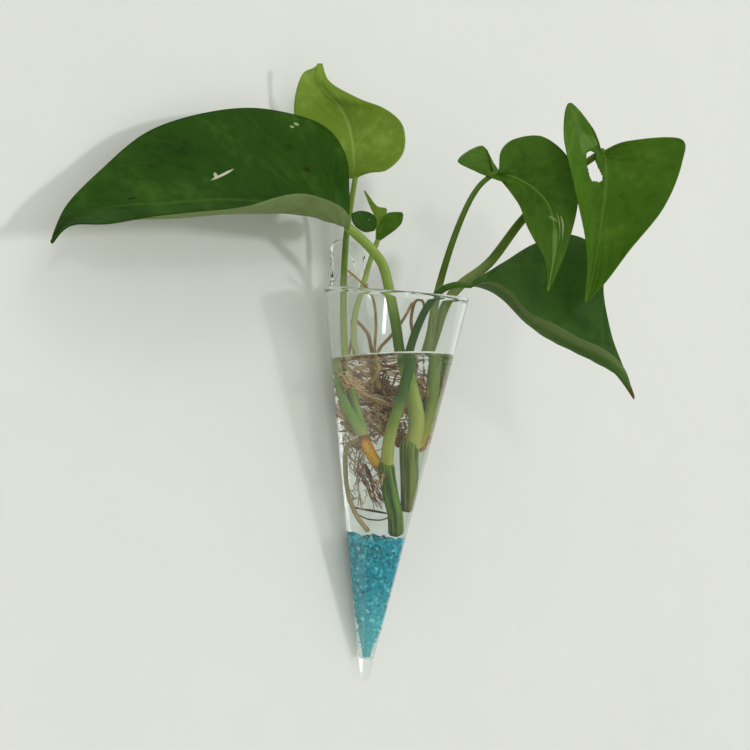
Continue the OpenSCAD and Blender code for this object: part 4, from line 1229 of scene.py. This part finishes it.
# %% [markdown]
# The tangle is several kinds of roots at once: strands that circle, loose lines that hang
# through the middle, and single ones that wander. One random walk for all would look like
# wool, so each kind has its own function, and a bunch's row names its thick and thin end in
# mm. Roots start at joints of the vine: an angle, a share of the radius and one of the way up.

# %% Tangle of tan roots under the water line
FRONT_NODE, MIDDLE_NODE, REAR_NODE = (234, 0.34, 0.275), (313, 0.53, 0.4), (120, 0.5, 0.43)
root_piece("root_tangle_grown", [
    (0.95, 0.45, strands(MIDDLE_NODE, (-45, 10), (120, 196),
                         (0.56, 0.68), (0.6, 0.94), 9, 4, 120)),
    (0.9, 0.4, strands(REAR_NODE, (120, 160), (-40, 50), (0.5, 0.66), (0.55, 0.9), 5, 3, 120)),
    (1.0, 0.45, frayed(20, 90, 0.07, 0.8, """
        -500 550 690, -360 600 630, -140 500 590, 50 400 575, 300 200 560, 450 50 540""")),
    (0.75, 0.35, frayed(16, 90, 0.12, 1.6, """
        -300 500 420, -100 500 470, 50 350 500, 200 150 480, 360 100 450""")),
    (0.6, 0.3, frayed(10, 90, 0.14, 2.0, "-250 600 440, -50 600 520, 100 450 440, 300 300 400")),
    (0.7, 0.3, winding(MIDDLE_NODE, (-40, 200), (0.5, 0.95), (0.42, 0.68), 12, 90, 0.8)),
], "root_tan", "root_tan", "root_tangle")

# %% [markdown]
# A few thicker olive roots branch near the stub, and many thin brown ones hang in the shade
# behind the stems. Random walks would miss these places, so a few lines are given and frayed
# into as many roots as are needed.

# %% Thicker olive roots, and the shaded ones behind the stems
root_piece("brown_arm", [
    (1.5, 1.9, frayed(1, 40, 0, 0, "-460 620 457, -420 450 448, -420 290 427, -380 170 400")),
    (0.7, 1.1, frayed(1, 40, 0, 0, "-410 730 417, -370 530 430, -350 290 452")),
    (1.9, 0.3, frayed(3, 40, 0.03, 0, """
        -380 400 620, -330 470 673, -320 570 708, -300 660 744, -270 730 781""")),
], "root_olive", "root_brown", sides=10)
root_piece("shaded_roots", [
    (1.0, 0.45, frayed(22, 80, 0.12, 1.2, "400 0 385, 360 170 470, 300 300 570, 250 400 660")),
    (1.0, 0.45, frayed(22, 80, 0.11, 1.2, """
        660 -300 380, 740 -200 460, 740 -220 560, 620 -200 680""")),
], "root_brown", "root_brown")

# %% [markdown]
# Lower down the roots are short, darker and separate. The fine ones could hang from the
# vine pieces, but on the real bunch they lie about, so they start at scattered places and
# wander. The tuft and the twigs are lines frayed a little.

# %% Short brown roots lower down, the tuft and the twigs
scattered = picks(110, 176, 26), picks(0.35, 0.9, 26), picks(0.14, 0.42, 26)
root_piece("fine_roots_grown", [
    (0.5, 0.28, winding(scattered, (-60, 60), (0.3, 0.95), (0.1, 0.44), 26, 70, 0.3)),
    (0.55, 0.25, winding(FRONT_NODE, (-90, -40), (0.7, 0.95), (0.1, 0.36), 6, 90, 0.6)),
], "root_fine", "root_brown", "fine_roots")
root_piece("red_tuft", [
    (0.6, 0.25, frayed(12, 60, 0.07, 0, """
        -350 200 295, -300 130 254, -220 -50 207, -70 -200 151""")),
    (0.55, 0.25, frayed(9, 60, 0.08, 0, "-370 300 276, -330 160 220, -200 10 172, -90 -110 132")),
], "root_red", "root_brown")
root_piece("dead_twigs", [
    (0.8, 0.6, frayed(2, 60, 0.02, 0, "-540 460 110, -420 230 106, -250 -60 102, -70 -360 99")),
    (0.8, 0.7, frayed(1, 60, 0.0, 0, "-350 480 83, -190 200 66, -20 -100 67, 130 -250 78")),
], "root_dark", "root_dark")

# %% [markdown]
# One old pale root runs down along the glass to the gravel, and four olive ones loop up out
# of the water towards the rim. They can be counted, so their courses aren't random.

# %% Anchor root and the loops above the water
u = np.linspace(0, 1, 90)
ANCHOR_ROOM, LOOP_ROOM, LOOP_THICK, LOOP_THIN = 2.3, 1.2, 1.6, 1.1
ANCHOR = "-420 50 20, -580 400 80, -560 640 160, -500 680 270, -620 500 360, -440 200 405"
anchor_path = along(in_vase(points_of(ANCHOR), ANCHOR_ROOM), u)
anchor_radii = 1.0 + 0.12 * u + 0.05 * np.sin(u * 60)
points, faces, extra = tubes(anchor_path[None], anchor_radii[None], 16)
make("anchor_root_grown", points, faces, "cuttings", [finishes["root_pale"]], "root_pale",
     "anchor_root", {"skin": extra["skin"], "tone": np.full(len(points), 0.5)})
LOOPS = """
    -100 240 600, -30 270 670, -100 320 753, -50 360 866, -90 380 961, -240 370 1012,
    -480 350 1049, -670 340 1077 /
    -90 100 620, -70 260 695, -60 440 758, -20 600 830, -100 860 880, -100 900 810, -200 920 730 /
    -310 80 640, -200 40 700, -190 140 760, 100 120 830, 310 70 904, 470 80 970 /
    510 60 690, 510 0 823, 500 80 898, 560 100 977, 660 20 980, 760 20 913"""
loops = [(LOOP_THICK, LOOP_THIN, along(in_vase(points_of(line), LOOP_ROOM), u)[None])
         for line in LOOPS.split("/")]
root_piece("root_loops_grown", loops, "root_olive", "root_brown", "root_loops", sides=10)

# %% [markdown]
# ## Wall, floor and light
#
# The vase hangs on a pale matt wall, which is only the stage: seen from behind it lets the
# view through, so that the back of the vase can be looked at. The light is soft. A lamp far
# off to the right throws the long shadow of the glass to the left; a weaker one near the
# camera and a wide one overhead fill it. A sky texture could light the scene as well, but
# three lamps can be balanced against the shadows one by one. Around them the world is plain;
# what the camera sees straight on and through glass is a pale room, and what gloss mirrors
# of it is dimmer, or leaves and chips would look dusty.

# %% Stage
STAGE_HALF, FLOOR, WALL_GAP = 3, -0.6, 0.0012


def stage_plane(name, corners, paint):
    """A single square of the stage, with one paint."""
    mesh = bpy.data.meshes.new(name)
    mesh.from_pydata(corners, [], [(0, 1, 2, 3)])
    mesh.materials.append(paint)
    plane = bpy.data.objects.new(name, mesh)
    COLLECTION.objects.link(plane)


def first_gloss(rays):
    """1 for a ray of gloss that has gone through no glass."""
    return rays["Is Glossy Ray"] * (rays["Transmission Depth"] < 0.5)


wall_paint, sockets, place = finish("wall_paint", 0.9, Specular_IOR_Level=0.2)
cloud = use(CLOUD, place, Scale=9.0, Contrast=0.8)
ramp(cloud, "0 dee0db, 1 e4e6e1").to(sockets["Base Color"])
back = node(place.tree, "NewGeometry")["Backfacing"]
blend_shader(wall_paint, back, node(place.tree, "BsdfTransparent"))
far = STAGE_HALF
stage_plane("wall", [(-far, WALL_GAP, FLOOR), (far, WALL_GAP, FLOOR),
                     (far, WALL_GAP, far), (-far, WALL_GAP, far)], wall_paint)
floor_paint, sockets, place = finish("floor_paint", 0.8)
cloud = use(CLOUD, place, Scale=5.0, Contrast=0.8)
pale = ramp(cloud, "0 dededa, 1 e6e6e2")
# What gloss mirrors of the floor is dim as well.
gloss = first_gloss(node(place.tree, "LightPath"))
mixed(gloss, pale, "545450").to(sockets["Base Color"])
stage_plane("floor", [(-far, -far, FLOOR), (far, -far, FLOOR),
                      (far, far, FLOOR), (-far, far, FLOOR)], floor_paint)
print("stage", 2 * far, "m wide, floor at", FLOOR)

# %% Lamps
AIM = Vector((0, -0.03, -0.05))


def lamp(name, azimuth, elevation, distance, size, power):
    """An area lamp on a sphere round the vase, facing it. Azimuth is from the wall's normal
    towards +X."""
    a, e = math.radians(azimuth), math.radians(elevation)
    away = Vector((math.sin(a) * math.cos(e), -math.cos(a) * math.cos(e), math.sin(e)))
    made = bpy.data.objects.new(name, bpy.data.lights.new(name, "AREA"))
    made.data.shape = "RECTANGLE"
    made.data.size, made.data.size_y = size
    made.data.energy = power
    made.location = AIM + away * distance
    made.rotation_euler = away.to_track_quat("Z", "Y").to_euler()
    COLLECTION.objects.link(made)
    print(name, power, "W")


lamp("window_light", 30, 2, 12.0, (1.2, 1.2), 332.0)
lamp("near_light", -28, 12, 10.0, (1.0, 1.0), 66.0)
lamp("ceiling_light", 5, 45, 9.0, (2.9, 2.2), 52.0)

# %% World
PLAIN, SEEN, DIMMING = 0.732, 0.9, 0.38
world = bpy.data.worlds.new("room")
bpy.context.scene.world = world
world.use_nodes = True
sky = world.node_tree.nodes["Background"].inputs
sky["Color"].default_value = (1, 1, 0.98, 1)
rays = node(world.node_tree, "LightPath")
seen = rays["Is Camera Ray"].maths("MAXIMUM", rays["Is Transmission Ray"])
bright = node(world.node_tree, "MapRange", {0: seen, 3: PLAIN, 4: SEEN})
(bright - first_gloss(rays) * DIMMING).to(sky["Strength"])
bpy.context.scene.view_settings.view_transform = "Standard"
print("world strength", PLAIN, "to", SEEN)
